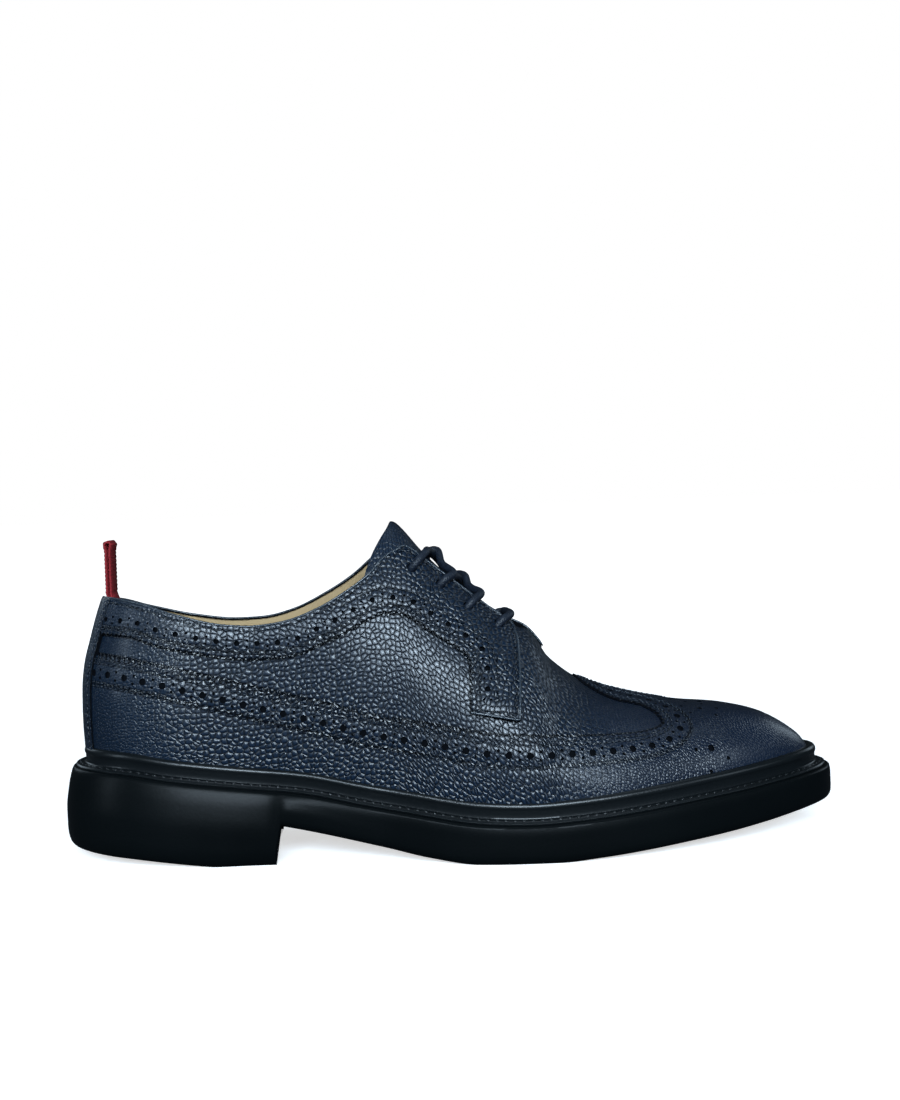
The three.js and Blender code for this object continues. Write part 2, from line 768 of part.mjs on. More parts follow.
// The opening between the facings, over the tongue
function throatCut() {
  const place = (key) => (row) => {
    const x = placeOf(row.at);
    const middle = section(ridgeAngle(x)).ridgeY;
    return { x, y: middle + row[key] * throatWidth };
  };
  const outer = throatRows.map(place("outer"));
  const inner = throatRows.map(place("inner")).reverse();
  return planSlab([...outer, ...inner], heightOf(throatFloor), heightOf(overhead));
}

// Profile of the quarter band with its eyestay
function bandSlab() {
  const front = (sign) =>
    facingRows.map(({ at, up, wide }) => sidePoint({ at: at + sign * wide, up }));
  const rest = bandRows.map(sidePoint);
  const over = { x: rest[0].x - overrun, z: heightOf(facingRows[facingRows.length - 1].up) };
  const under = { x: rest[0].x - overrun, z: rest[0].z };
  return sideSlab([under, ...rest, ...front(-1), over], [under, ...rest, ...front(1), over]);
}

// Profile of the long wing
function wingSlab() {
  const line = wingRows.map(sidePoint);
  const [first, last] = [line[0], line[line.length - 1]];
  const front = placeOf(1) + overrun;
  return sameSlab([
    { x: first.x - overrun, z: -overrun },
    { x: front, z: -overrun },
    { x: front, z: last.z },
    ...line.reverse(),
    { x: first.x - overrun, z: first.z },
  ]);
}

// Strip over the back seam
function backstaySlab() {
  const low = seatHeight(backEnd) + weltHeight + clearance;
  const front = backEnd + heelWidth / 4;
  const side = section(0).ridgeY;
  return planSlab(
    [
      { x: backEnd - overrun, y: side - backstayWidth / 2 },
      { x: front, y: side - backstayWidth / 2 },
      { x: front, y: side + backstayWidth / 2 },
      { x: backEnd - overrun, y: side + backstayWidth / 2 },
    ],
    low,
    heightOf(overhead),
  );
}

// Middle of an eyelet on the form, moved out by a distance
function eyeletPoint(row, outerSide, out) {
  const { x, z } = sidePoint(row);
  return formBeside(x, z, outerSide, out);
}

// Bore for an eyelet, square to the form
function eyeletHole(row, outerSide) {
  const radius = eyeletDiameter / 2;
  const middle = eyeletPoint(row, outerSide, 0);
  const out = eyeletPoint(row, outerSide, 1).sub(middle).normalize();
  const turn = new THREE.Quaternion().setFromUnitVectors(new THREE.Vector3(0, 1, 0), out);
  const hole = new THREE.CylinderGeometry(radius, radius, overrun, holeSides);
  hole.applyQuaternion(turn).translate(middle.x, middle.y, middle.z);
  return solidOf(hole);
}

// One hollow solid: vamp, long wing, quarters and backstay as steps of its wall
function makeUpper(wing, quarter) {
  const vamp = formSolid(0, lastStations, lastCourses);
  const backstay = formSolid(backstayStep, lastStations, lastCourses).intersect(backstaySlab());
  const shell = vamp
    .add(wing.intersect(wingSlab()))
    .add(quarter.intersect(bandSlab()))
    .add(backstay)
    .intersect(aboveSeat());
  const hollow = formSolid(-wall, liningStations, liningCourses);
  const holes = eyeletRows.flatMap((row) => [eyeletHole(row, true), eyeletHole(row, false)]);
  return holes.reduce(
    (solid, hole) => solid.subtract(hole),
    shell.subtract(hollow).subtract(collarCut()).subtract(throatCut()),
  );
}

// Tongue under the facings, with its foot below the vamp
function makeTongue() {
  const top = -(wall + clearance);
  const outer = formSolid(top, liningStations, liningCourses);
  const inner = formSolid(top - tongueThickness, liningStations, liningCourses);
  const edgeLine = tongueRows.map(sidePoint);
  const low = heightOf(tongueHem);
  const [start, finish] = [edgeLine[0], edgeLine[edgeLine.length - 1]];
  const foot = placeOf(tongueFoot);
  const profile = sameSlab([
    { x: start.x, z: low },
    { x: foot, z: low },
    { x: foot, z: finish.z },
    ...edgeLine.reverse(),
  ]);
  const side = section(ridgeAngle(placeOf(tongueMiddle))).ridgeY;
  const strip = planSlab(
    [
      { x: start.x - overrun, y: side - tongueWidth / 2 },
      { x: foot + overrun, y: side - (tongueTaper * tongueWidth) / 2 },
      { x: foot + overrun, y: side + (tongueTaper * tongueWidth) / 2 },
      { x: start.x - overrun, y: side + tongueWidth / 2 },
    ],
    0,
    heightOf(overhead),
  );
  return outer.subtract(inner).intersect(profile).intersect(strip);
}

// Round lace along points
function laceTube(points) {
  const path = new THREE.CatmullRomCurve3(points);
  const section = new THREE.Shape();
  section.absarc(0, 0, laceDiameter / 2, 0, 2 * Math.PI);
  const geometry = new THREE.ExtrudeGeometry(section, {
    steps: laceSteps,
    curveSegments: laceSides / 2,
    extrudePath: path,
    bevelEnabled: false,
  });
  return solidOf(geometry);
}

// Heights of a lace's middle over the form, on a facing and on the tongue
const overFacing = quarterStep + laceLift + laceDiameter / 2;
const overTongue = laceDiameter / 2 - wall;

// Where a lace crosses the edge of a facing beside an eyelet
function facingEdge(row, outerSide) {
  const x = placeOf(row.at) + eyeletSetback / 2;
  const middle = section(ridgeAngle(x)).ridgeY;
  return { x, middle, y: middle + (outerSide ? -0.5 : 0.5) * throatWidth };
}

// Out of an eyelet and over its facing
function laceStart(row, outerSide) {
  const { x, y } = facingEdge(row, outerSide);
  return [eyeletPoint(row, outerSide, overFacing), formAbove(x, y, overFacing)];
}

// Straight bar across the eyelets nearest the toe
function laceBar() {
  const row = eyeletRows[eyeletRows.length - 1];
  const { x, middle } = facingEdge(row, true);
  return laceTube([
    ...laceStart(row, true),
    formAbove(x, middle, overTongue + 2 * laceLift),
    ...laceStart(row, false).reverse(),
  ]);
}

// Shares of the way across the throat at which a strand lands on the tongue, and at which a strand
// that goes under a facing ends
const landing = 0.25;
const tuck = 0.7;

// Two strands from one pair of eyelets that cross to the next pair, over or under its facings
function laceCross(from, to, under) {
  const strand = (outerSide, lift) => {
    const near = facingEdge(eyeletRows[from], outerSide);
    const far = facingEdge(eyeletRows[to], !outerSide);
    const between = (end, other) =>
      formAbove(
        mix(end.x, other.x, landing),
        mix(end.y, other.y, landing),
        overTongue + 2 * laceLift,
      );
    const crest = formAbove((near.x + far.x) / 2, near.middle, overTongue + lift);
    const tuckY = mix(far.middle, far.y, tuck);
    const tucked = formAbove(far.x + laceDiameter, tuckY, overTongue + lift);
    const finish = under
      ? [tucked]
      : [between(far, near), ...laceStart(eyeletRows[to], !outerSide).reverse()];
    const start = laceStart(eyeletRows[from], outerSide);
    return laceTube([...start, between(near, far), crest, ...finish]);
  };
  return strand(true, laceLift).add(strand(false, clearance));
}

// Inside of the back of the upper at a height, at half the loop's width from the back seam
function liningBack(z) {
  const [lowest, highest] = [0.02, 0.99];
  let angle = 0.1;
  let up = 0.6;
  for (let pass = 0; pass < seamPasses; pass += 1) {
    const point = formPoint(angle, up, -wall);
    up = Math.max(lowest, Math.min(highest, up + (z - point.z) / instepRise / 2));
    angle *= Math.sqrt(loopWidth / 2 / Math.abs(point.y - section(0).ridgeY));
  }
  return formPoint(angle, up, -wall).x;
}

// Folded tape sewn inside the back of the collar, open above as a loop
function makeLoop() {
  const rim = heightOf(1);
  const low = rim - loopTail;
  const tail = liningBack(low) + clearance;
  const back = liningBack(rim) + clearance;
  const head = back - loopLean;
  const top = rim + loopRise - loopDepth / 2;
  const bend = rim + loopNeck;
  const gapFoot = bend + tapeThickness / 2;
  const shape = new THREE.Shape();
  shape.moveTo(tail, low);
  shape.lineTo(tail + 2 * tapeThickness, low);
  shape.lineTo(head + loopDepth, bend);
  shape.lineTo(head + loopDepth, top);
  shape.absarc(head + loopDepth / 2, top, loopDepth / 2, 0, Math.PI, false);
  shape.lineTo(head, bend);
  shape.lineTo(back, rim);
  shape.closePath();
  const gap = new THREE.Path();
  gap.moveTo(head + tapeThickness, gapFoot);
  gap.lineTo(head + tapeThickness, top);
  gap.absarc(head + loopDepth / 2, top, loopDepth / 2 - tapeThickness, Math.PI, 0, true);
  gap.lineTo(head + loopDepth - tapeThickness, gapFoot);
  gap.closePath();
  shape.holes.push(gap);
  const geometry = new THREE.ExtrudeGeometry(shape, {
    depth: loopWidth,
    bevelEnabled: false,
    curveSegments: 8,
  });
  geometry.rotateX(Math.PI / 2).translate(0, section(0).ridgeY + loopWidth / 2, 0);
  return solidOf(geometry);
}

const shoe = new THREE.Group();

// A solid as one named piece of the shoe
function addPiece(name, solid, finish) {
  const mesh = new THREE.Mesh(geometryOf(solid), new THREE.MeshStandardMaterial(palette[finish]));
  mesh.name = name;
  shoe.add(mesh);
}

const wingForm = formSolid(wingStep, lastStations, lastCourses);
const quarterForm = formSolid(quarterStep, lastStations, lastCourses);
const weltPlug = formSolid(wingStep + clearance, lastStations, lastCourses);

addPiece("outsole", makeOutsole(), "rubber");
addPiece("welt", makeWelt(weltPlug), "rubber");
addPiece("insole", makeInsole(), "lining");
addPiece("upper", makeUpper(wingForm, quarterForm), "leather");
addPiece("tongue", makeTongue(), "leather");
addPiece("lace_bar", laceBar(), "lace");
addPiece("lace_cross_lower", laceCross(2, 1, true), "lace");
addPiece("lace_cross_upper", laceCross(1, 0, false), "lace");
addPiece("pull_loop", makeLoop(), "tape");

export default shoe;
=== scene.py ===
import logging
import math
from dataclasses import dataclass, field
from enum import Enum
from typing import Callable, Iterator

import bpy
import numpy as np
from mathutils import Matrix, Vector
from mathutils.geometry import delaunay_2d_cdt
from mathutils.kdtree import KDTree


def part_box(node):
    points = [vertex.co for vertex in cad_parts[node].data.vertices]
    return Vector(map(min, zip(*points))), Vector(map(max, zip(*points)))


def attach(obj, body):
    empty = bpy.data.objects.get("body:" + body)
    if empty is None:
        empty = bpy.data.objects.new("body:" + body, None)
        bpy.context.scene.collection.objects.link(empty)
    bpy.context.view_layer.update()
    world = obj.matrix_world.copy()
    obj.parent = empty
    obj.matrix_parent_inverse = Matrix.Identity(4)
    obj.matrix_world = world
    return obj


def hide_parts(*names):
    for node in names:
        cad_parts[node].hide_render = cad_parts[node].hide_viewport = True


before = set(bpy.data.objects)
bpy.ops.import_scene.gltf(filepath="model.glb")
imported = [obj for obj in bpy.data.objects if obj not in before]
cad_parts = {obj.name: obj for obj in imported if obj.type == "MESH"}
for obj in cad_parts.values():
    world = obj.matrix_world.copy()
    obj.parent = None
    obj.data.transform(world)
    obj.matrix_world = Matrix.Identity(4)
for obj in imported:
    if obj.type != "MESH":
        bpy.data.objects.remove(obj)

# A longwing derby brogue for the right foot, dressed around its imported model. The tables hold
# shares and the sizes are millimetres of a shoe with a 306 mm sole. Meshes are metres. An angle
# runs round the shoe from the back of the heel by the outer side to the toe (pi), and is negative
# on the inner side. A place on the last is a pair: the distance round it and the distance up it.

Array = np.ndarray
Piece = bpy.types.Object
Material = bpy.types.Material
Node = bpy.types.Node
NodeTree = bpy.types.NodeTree
Socket = bpy.types.NodeSocket
Faces = list[tuple[int, ...]]
Triple = tuple[float, float, float]
Placed = tuple[Piece, str, tuple[str, ...]]

log = logging.getLogger("brogue")
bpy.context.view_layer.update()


class Side(Enum):
    """Side of the shoe, as the sign of its angles."""

    OUTER = 1
    INNER = -1


class Cut(Enum):
    """How a stretch of a panel's outline ends."""

    RAW = "a cut edge that shows"
    TUCKED = "an edge hidden under its neighbour"
    RIDGE = "the line along the middle where two halves meet"


Outline = list[tuple[Array, Cut]]


def mix(start: Array, end: Array, share: Array) -> Array:
    """Returns the value a share of the way from start to end."""
    return start + (end - start) * share


def ease(start: float, end: float, value: Array) -> Array:
    """Returns a smooth step from 0 at start to 1 at end."""
    share = np.clip((value - start) / (end - start), 0, 1)
    return share * share * (3 - 2 * share)


def unit(vectors: Array) -> Array:
    """Returns each vector at length one."""
    return vectors / np.maximum(np.linalg.norm(vectors, axis=-1, keepdims=True), 1e-12)


class Column:
    """Smooth curve through one column of a table, with slopes that never overshoot."""

    def __init__(self, at: Array, value: Array) -> None:
        """Prepares the slopes.

        Args:
            at: rising places.
            value: the value at each place.
        """
        self.at = np.asarray(at, float)
        self.value = np.asarray(value, float)
        rise = np.diff(self.value) / np.diff(self.at)
        product = rise[:-1] * rise[1:]
        total = np.where(product > 0, rise[:-1] + rise[1:], 1)
        inner = np.where(product > 0, 2 * product / total, 0)
        self.slope = np.concatenate([rise[:1], inner, rise[-1:]])

    def __call__(self, place: Array) -> Array:
        """Returns the curve's value at a place."""
        place = np.clip(place, self.at[0], self.at[-1])
        i = np.clip(np.searchsorted(self.at, place) - 1, 0, len(self.at) - 2)
        width = self.at[i + 1] - self.at[i]
        u = (place - self.at[i]) / width
        ahead = u * u * (3 - 2 * u)
        bend = (1 - u) * self.slope[i] - u * self.slope[i + 1]
        return mix(self.value[i], self.value[i + 1], ahead) + width * u * (1 - u) * bend


class Table:
    """Short table of shares with named columns."""

    def __init__(self, names: str, *lines: tuple[float, ...]) -> None:
        """Keeps the columns by name.

        Args:
            names: the columns' names, parted by spaces.
            lines: the rows.
        """
        self.columns = dict(zip(names.split(), np.array(lines, float).T))

    def __getitem__(self, name: str) -> Array:
        """Returns one column."""
        return self.columns[name]

    def __iter__(self) -> Iterator[tuple[float, ...]]:
        """Returns the rows, one by one."""
        return zip(*self.columns.values())

    def curve(self, key: str, value: str) -> Column:
        """Returns the smooth curve of one column over another."""
        return Column(self.columns[key], self.columns[value])


OUTLINE = Table(
    "at curve half",
    (0.03, -0.003, 0.297),
    (0.08, -0.008, 0.431),
    (0.14, -0.012, 0.489),
    (0.2, -0.015, 0.498),
    (0.27, -0.025, 0.478),
    (0.34, -0.043, 0.436),
    (0.41, -0.05, 0.409),
    (0.48, -0.043, 0.42),
    (0.55, -0.026, 0.462),
    (0.61, -0.008, 0.49),
    (0.67, 0.005, 0.496),
    (0.73, 0.014, 0.48),
    (0.79, 0.02, 0.443),
    (0.85, 0.027, 0.388),
    (0.91, 0.034, 0.308),
    (0.96, 0.039, 0.212),
)
TOE_CURVE = 0.041

LEDGE = Table(
    "at heel toe",
    (0, 1, 0),
    (0.08, 0.96, 0),
    (0.15, 0.83, 0),
    (0.25, 0.655, 0),
    (0.316, 0.555, 0),
    (0.382, 0.375, 0),
    (0.448, 0.21, 0),
    (0.534, 0.035, 0),
    (0.6, 0, 0),
    (0.663, 0, 0.08),
    (0.735, 0, 0.24),
    (0.807, 0, 0.44),
    (0.886, 0, 0.63),
    (0.96, 0, 0.805),
    (1, 0, 0.885),
)

HEEL_TREAD = Table(
    "at rocker",
    (0, 1.15),
    (0.0625, 0.88),
    (0.099, 0.72),
    (0.146, 0.42),
    (0.182, 0.16),
    (0.21, 0),
    (0.29, 0),
)

FORE_TREAD = Table(
    "at waist toe",
    (0.28, 1.06, 0),
    (0.313, 0.92, 0),
    (0.352, 0.74, 0),
    (0.411, 0.455, 0),
    (0.469, 0.17, 0),
    (0.53, 0, 0),
    (0.63, 0, 0),
    (0.68, 0, 0.09),
    (0.735, 0, 0.22),
    (0.785, 0, 0.36),
    (0.84, 0, 0.51),
    (0.895, 0, 0.68),
    (0.957, 0, 0.89),
    (1, 0, 1),
)

WALL = Table(
    "up heel fore",
    (0, 0.65, 2.3),
    (0.07, 0.25, 0.9),
    (0.2, 0.03, 0.15),
    (0.45, 0, 0),
    (0.75, 0.35, 0),
    (0.95, 0.82, 0.35),
    (1, 1, 1),
)

FORM = Table(
    "at rise shift outer inner",
    (0, 0.84, 0, 2.7, 2.7),
    (0.1, 0.87, 0, 2.7, 2.7),
    (0.24, 0.93, 0, 2.7, 2.7),
    (0.35, 0.99, 0.005, 2.5, 2.6),
    (0.4, 1.025, 0.01, 2.3, 2.5),
    (0.433, 1.025, 0.015, 2.2, 2.4),
    (0.478, 0.915, 0.02, 2.3, 2.4),
    (0.534, 0.788, 0.028, 2.5, 2.6),
    (0.586, 0.682, 0.04, 2.4, 2.6),
    (0.61, 0.64, 0.047, 2.3, 2.6),
    (0.628, 0.575, 0.05, 2.3, 2.6),
    (0.639, 0.523, 0.051, 2.3, 2.6),
    (0.652, 0.487, 0.052, 2.3, 2.6),
    (0.678, 0.43, 0.053, 2.3, 2.6),
    (0.706, 0.39, 0.053, 2.3, 2.6),
    (0.741, 0.352, 0.053, 2.3, 2.5),
    (0.811, 0.29, 0.05, 2.4, 2.5),
    (0.889, 0.247, 0.045, 2.5, 2.5),
    (0.939, 0.198, 0.042, 2.5, 2.5),
    (0.972, 0.138, 0.04, 2.4, 2.4),
)

BACK = Table(
    "up lean",
    (0, 0),
    (0.12, -0.016),
    (0.3, -0.022),
    (0.46, -0.019),
    (0.6, -0.004),
    (0.76, 0.036),
    (0.9, 0.075),
    (1, 0.108),
    (1.4, 0.24),
)

COLLAR = Table(
    "at outer inner",
    (0.01, 1, 1),
    (0.07, 0.998, 0.975),
    (0.108, 0.966, 0.907),
    (0.16, 0.896, 0.847),
    (0.222, 0.828, 0.812),
    (0.258, 0.815, 0.818),
    (0.297, 0.833, 0.859),
    (0.343, 0.905, 0.956),
    (0.382, 1.005, 1.066),
    (0.408, 1.09, 1.168),
    (0.43, 1.198, 1.25),
    (0.451, 1.237, 1.3),
    (0.455, 1.6, 1.6),
)

BAND = Table(
    "at up",
    (0.02, 0.793),
    (0.064, 0.79),
    (0.101, 0.775),
    (0.136, 0.724),
    (0.17, 0.688),
    (0.224, 0.642),
    (0.256, 0.629),
    (0.29, 0.631),
    (0.317, 0.648),
    (0.344, 0.7),
    (0.372, 0.755),
    (0.398, 0.818),
    (0.427, 0.87),
    (0.446, 0.862),
    (0.483, 0.753),
    (0.518, 0.645),
    (0.529, 0.6),
    (0.532, 0.53),
    (0.53, 0.288),
)

FACING = Table(
    "at up wide",
    (0.597, 0.232, 0.01),
    (0.603, 0.33, 0.014),
    (0.609, 0.52, 0.018),
    (0.608, 0.65, 0.017),
    (0.6, 0.75, 0.014),
    (0.57, 1.6, 0.012),
)

WING = Table(
    "at up",
    (0.02, 0.68),
    (0.07, 0.665),
    (0.133, 0.614),
    (0.197, 0.539),
    (0.271, 0.446),
    (0.345, 0.361),
    (0.418, 0.273),
    (0.49, 0.217),
    (0.562, 0.159),
    (0.636, 0.129),
    (0.7, 0.11),
    (0.735, 0.108),
    (0.761, 0.121),
    (0.7725, 0.145),
    (0.767, 0.187),
    (0.75, 0.23),
    (0.716, 0.273),
    (0.691, 0.328),
    (0.67, 0.4),
    (0.655, 0.6),
)

THROAT = Table(
    "at outer inner",
    (0.389, -0.66, 0.33),
    (0.448, -0.54, 0.45),
    (0.484, -0.5, 0.55),
    (0.536, -0.51, 0.49),
    (0.569, -0.52, 0.48),
    (0.586, -0.5, 0.47),
    (0.597, -0.38, 0.44),
    (0.608, -0.15, 0.42),
    (0.616, 0.1, 0.36),
)

# The throat's rounded end on the inner side, in millimetres off the ridge
THROAT_TIP = Table("at off", (0.6165, 6.0), (0.6163, 3.0), (0.6155, 0.8))

TONGUE = Table(
    "at up",
    (0.386, 0.86),
    (0.41, 1.19),
    (0.424, 1.31),
    (0.434, 1.375),
    (0.445, 1.45),
    (0.5, 1.6),
)

# The toe's ornament: millimetres ahead of its centre and off the ridge
MEDALLION = Table(
    "ahead off radius",
    (-12.0, 0.0, 0.7),
    (-6.0, 3.6, 0.7),
    (0.0, 0.0, 1.2),
    (0.0, 7.2, 0.7),
    (6.0, 3.6, 0.7),
    (12.0, 0.0, 0.7),
    (-9.0, 12.5, 0.7),
    (-2.0, 13.5, 1.1),
    (5.0, 12.0, 0.7),
    (-6.5, 18.5, 0.7),
    (3.5, 18.5, 0.7),
    (-1.5, 32.2, 1.35),
    (4.8, 31.6, 0.75),
    (2.2, 34.4, 0.75),
    (-2.6, 35.6, 0.75),
    (-7.6, 34.2, 0.75),
)

EYELETS = Table(
    "at up",
    (0.461, 1.113),
    (0.496, 1.006),
    (0.53, 0.871),
    (0.567, 0.755),
)


@dataclass(frozen=True)
class Sizes:
    """Driving dimensions in millimetres."""

    sole_length: float = 306.0
    ball_width: float = 103.0
    heel_width: float = 70.0
    heel_height: float = 36.2
    fore_thickness: float = 14.2
    toe_spring: float = 11.3
    heel_rocker: float = 5.0
    breast_height: float = 14.3
    breast_place: float = 86.0
    breast_lean: float = 2.5
    breast_skew: float = 6.0
    heel_end_radius: float = 28.0
    toe_end_radius: float = 21.0
    heel_wall_slope: float = 3.1
    fore_wall_slope: float = 0.9
    ledge: float = 4.9
    clearance: float = 0.3
    welt_height: float = 7.6
    welt_thickness: float = 1.8
    wall: float = 2.0
    wing_step: float = 1.0
    quarter_step: float = 1.5
    backstay_step: float = 1.6
    backstay_width: float = 25.0
    instep_rise: float = 108.0
    toe_rise_radius: float = 18.0
    collar_rise: float = 65.3
    seat_swell: float = 2.0
    low_swell: float = 0.4
    throat_width: float = 32.0
    eyelet_radius: float = 2.0
    tongue_thickness: float = 2.6
    tongue_width: float = 50.0
    lace_radius: float = 1.6
    eyelet_setback: float = 7.4
    loop_width: float = 11.0
    loop_depth: float = 5.4
    loop_tail: float = 13.0
    tape_thickness: float = 1.4


class Last:
    """The form that the upper is pulled over, as a surface round the shoe and up to its ridge."""

    def __init__(self, sizes: Sizes, length: float) -> None:
        """Works out the form's curves.

        Args:
            sizes: the driving dimensions.
            length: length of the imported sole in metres.
        """
        self.sizes = s = sizes
        self.metre = length / s.sole_length
        at, curve, half = (OUTLINE[name] for name in ("at", "curve", "half"))
        width = mix(s.heel_width, s.ball_width, ease(0.25, 0.55, at))
        spread = half * width / (2 * np.sqrt(at * (1 - at)))
        ends = [math.sqrt(r * s.sole_length / 2) for r in (s.heel_end_radius, s.toe_end_radius)]
        places = np.concatenate([[0], at, [1]])
        self.curve = Column(places, np.concatenate([[0], curve, [TOE_CURVE]]))
        self.spread = Column(places, np.concatenate([ends[:1], spread, ends[1:]]))
        self.side_shift = 0.0
        round_the_sole = self.outline(np.radians(np.arange(360)))[..., 1]
        self.side_shift = -(round_the_sole.min() + round_the_sole.max()) / 2
        self.heel_ledge = LEDGE.curve("at", "heel")
        self.toe_ledge = LEDGE.curve("at", "toe")
        self.rocker = HEEL_TREAD.curve("at", "rocker")
        self.waist = FORE_TREAD.curve("at", "waist")
        self.spring = FORE_TREAD.curve("at", "toe")
        self.heel_side = WALL.curve("up", "heel")
        self.fore_side = WALL.curve("up", "fore")
        self.lean = BACK.curve("up", "lean")
        self.back_end = self.edge(np.array(0.0), self.foot_inset(np.array(0.0)))[0]
        self.toe_end = self.edge(np.array(math.pi), self.foot_inset(np.array(1.0)))[0]
        form_at = np.append(FORM["at"], 1)
        rise = FORM["rise"] * s.instep_rise / np.sqrt(1 - FORM["at"])
        tip = math.sqrt(2 * s.toe_rise_radius * (self.toe_end - self.back_end))
        self.rise = Column(form_at, np.append(rise, tip))
        self.shift, self.outer, self.inner = (
            Column(form_at, np.append(FORM[name], FORM[name][-1]))
            for name in ("shift", "outer", "inner")
        )
        self.heel_seat = s.heel_height + s.clearance
        self._measure_round()

    def _measure_round(self) -> None:
        """Tabulates the distance round the form and the girth of each section."""
        count, waistline, courses = 1441, 0.35, 33
        self.angles = np.linspace(-math.pi, math.pi, count)
        belt = self.point(self.angles, np.full(count, waistline))
        steps = np.linalg.norm(np.diff(belt, axis=0), axis=1)
        rounds = np.concatenate([[0], np.cumsum(steps)])
        self.rounds = rounds - rounds[count // 2]
        ups = np.linspace(0, 1, courses)[:, None]
        web = self.point(np.broadcast_to(self.angles, (courses, count)), ups)
        climb = np.cumsum(np.linalg.norm(np.diff(web, axis=0), axis=2), axis=0)
        self.climbs = np.concatenate([np.zeros((1, count)), climb])
        self.girths = self.climbs[-1] + 1e-3

    def place_of(self, share: Array) -> Array:
        """Returns the place along the sole at a share of its length."""
        return (share - 0.5) * self.sizes.sole_length

    def share_at(self, x: Array) -> Array:
        """Returns the share of the sole's length at a place."""
        return x / self.sizes.sole_length + 0.5

    def height_of(self, up: Array) -> Array:
        """Returns the height at a share of the collar's rise over the heel seat."""
        return self.heel_seat + up * self.sizes.collar_rise

    def outline(self, angle: Array) -> Array:
        """Returns the sole's outline at an angle, as x and y."""
        share = (1 - np.cos(angle)) / 2
        side = self.curve(share) * self.sizes.ball_width + self.side_shift
        return np.stack([self.place_of(share), side - self.spread(share) * np.sin(angle)], -1)

    def edge(self, angle: Array, inset: Array) -> Array:
        """Returns the outline set in by a distance along its own normal."""
        tip = 0.01
        run = unit(self.outline(angle + tip) - self.outline(angle - tip))
        inward = np.stack([-run[..., 1], run[..., 0]], -1)
        return self.outline(angle) + inward * np.asarray(inset)[..., None]

    def ledge(self, x: Array) -> Array:
        """Returns the height of the sole's ledge."""
        s, share = self.sizes, np.clip(self.share_at(x), 0, 1)
        heel = self.heel_ledge(share) * (s.heel_height - s.fore_thickness)
        return s.fore_thickness + heel + self.toe_ledge(share) * s.toe_spring

    def tread(self, x: Array, heel: bool) -> Array:
        """Returns the height of the tread under the heel, or under the waist and forefoot."""
        s, share = self.sizes, self.share_at(x)
        if heel:
            return self.rocker(share) * s.heel_rocker
        return self.waist(share) * s.breast_height + self.spring(share) * s.toe_spring

    def wall_inset(self, share: Array, up: Array) -> Array:
        """Returns how far the sole's side stands in at a share of its height."""
        fore = self.fore_side(up) * self.sizes.fore_wall_slope
        heel = self.heel_side(up) * self.sizes.heel_wall_slope
        return mix(fore, heel, 1 - ease(0.2, 0.45, share))

    def welt_inset(self, share: Array) -> Array:
        """Returns how far the welt's outer face stands in."""
        return self.wall_inset(share, np.ones_like(share)) + self.sizes.ledge

    def foot_inset(self, share: Array) -> Array:
        """Returns how far the form's foot stands in."""
        return self.welt_inset(share) + self.sizes.welt_thickness + self.sizes.wing_step

    def section(self, angle: Array) -> dict[str, Array]:
        """Returns the section at an angle: foot, ridge, rise, fullness and share."""
        s = self.sizes
        inset = self.foot_inset((1 - np.cos(angle)) / 2)
        foot, other = self.edge(angle, inset), self.edge(-angle, inset)
        middle = (foot + other) / 2
        at = np.clip((middle[..., 0] - self.back_end) / (self.toe_end - self.back_end), 0, 1)
        end = np.maximum(1 - ease(0, 0.06, at), ease(0.94, 1, at))
        return {
            "foot": foot,
            "ridge_x": middle[..., 0],
            "ridge_y": mix(self.shift(at) * s.ball_width, middle[..., 1], end),
            "rise": self.rise(at) * np.sqrt(1 - at),
            "full": np.where(np.sin(angle) >= 0, self.outer(at), self.inner(at)),
            "at": at,
        }

    def point(self, angle: Array, up: Array) -> Array:
        """Returns the form's point at an angle, with up 0 at the seat and 1 on the ridge."""
        s, c = self.sizes, self.section(angle)
        at, rise = c["at"], c["rise"]
        quarter = up * math.pi / 2
        high = np.sin(quarter) ** (2 / c["full"])
        out = np.maximum(0, np.cos(quarter)) ** (2 / c["full"])
        lift = rise * high
        lean = self.lean(lift / s.collar_rise) * s.heel_width * (1 - ease(0, 0.3, at)) ** 2
        belly = np.sin(math.pi * np.sqrt(np.clip(high, 0, 1)))
        fullness = np.minimum(1, rise / s.instep_rise + s.low_swell) * ease(0, 0.12, at)
        swell = s.seat_swell * belly * fullness * (1 - ease(0.9, 1, at))
        seat = mix(self.ledge(c["foot"][..., 0]), self.ledge(c["ridge_x"]), high) + s.clearance
        x = mix(c["foot"][..., 0], c["ridge_x"], high) + lean
        y = c["ridge_y"] + (c["foot"][..., 1] - c["ridge_y"]) * out - np.sin(angle) * swell
        return np.stack([x, y, seat + lift], -1)

    def surface(self, angle: Array, up: Array, out: Array) -> Array:
        """Returns the form's point moved out along its normal by a distance."""
        point, normal = self.point(angle, up), self.normal(angle, up)
        return point + normal * np.asarray(out)[..., None]

    def normal(self, angle: Array, up: Array) -> Array:
        """Returns the form's outward normal."""
        step, close = 0.004, 1e-4
        round_it = self.point(angle + step, up) - self.point(angle - step, up)
        low, high = np.maximum(0, up - step), np.minimum(1, up + step)
        over = self.point(angle, high) - self.point(angle, low)
        normal = unit(np.cross(round_it, over))
        share = (1 - np.cos(angle)) / 2
        flat = (up > 1 - close) | (share < close)
        normal[..., 1] = np.where(flat, 0, normal[..., 1])
        normal[share > 1 - close] = (1, 0, 0)
        return unit(normal)

    def where(self, spots: Array) -> tuple[Array, Array]:
        """Returns the angle and the share up of places given round and up the form."""
        angle = np.interp(spots[..., 0], self.rounds, self.angles)
        girth = np.interp(angle, self.angles, self.girths)
        return angle, np.clip(spots[..., 1] / girth, 0, 1)

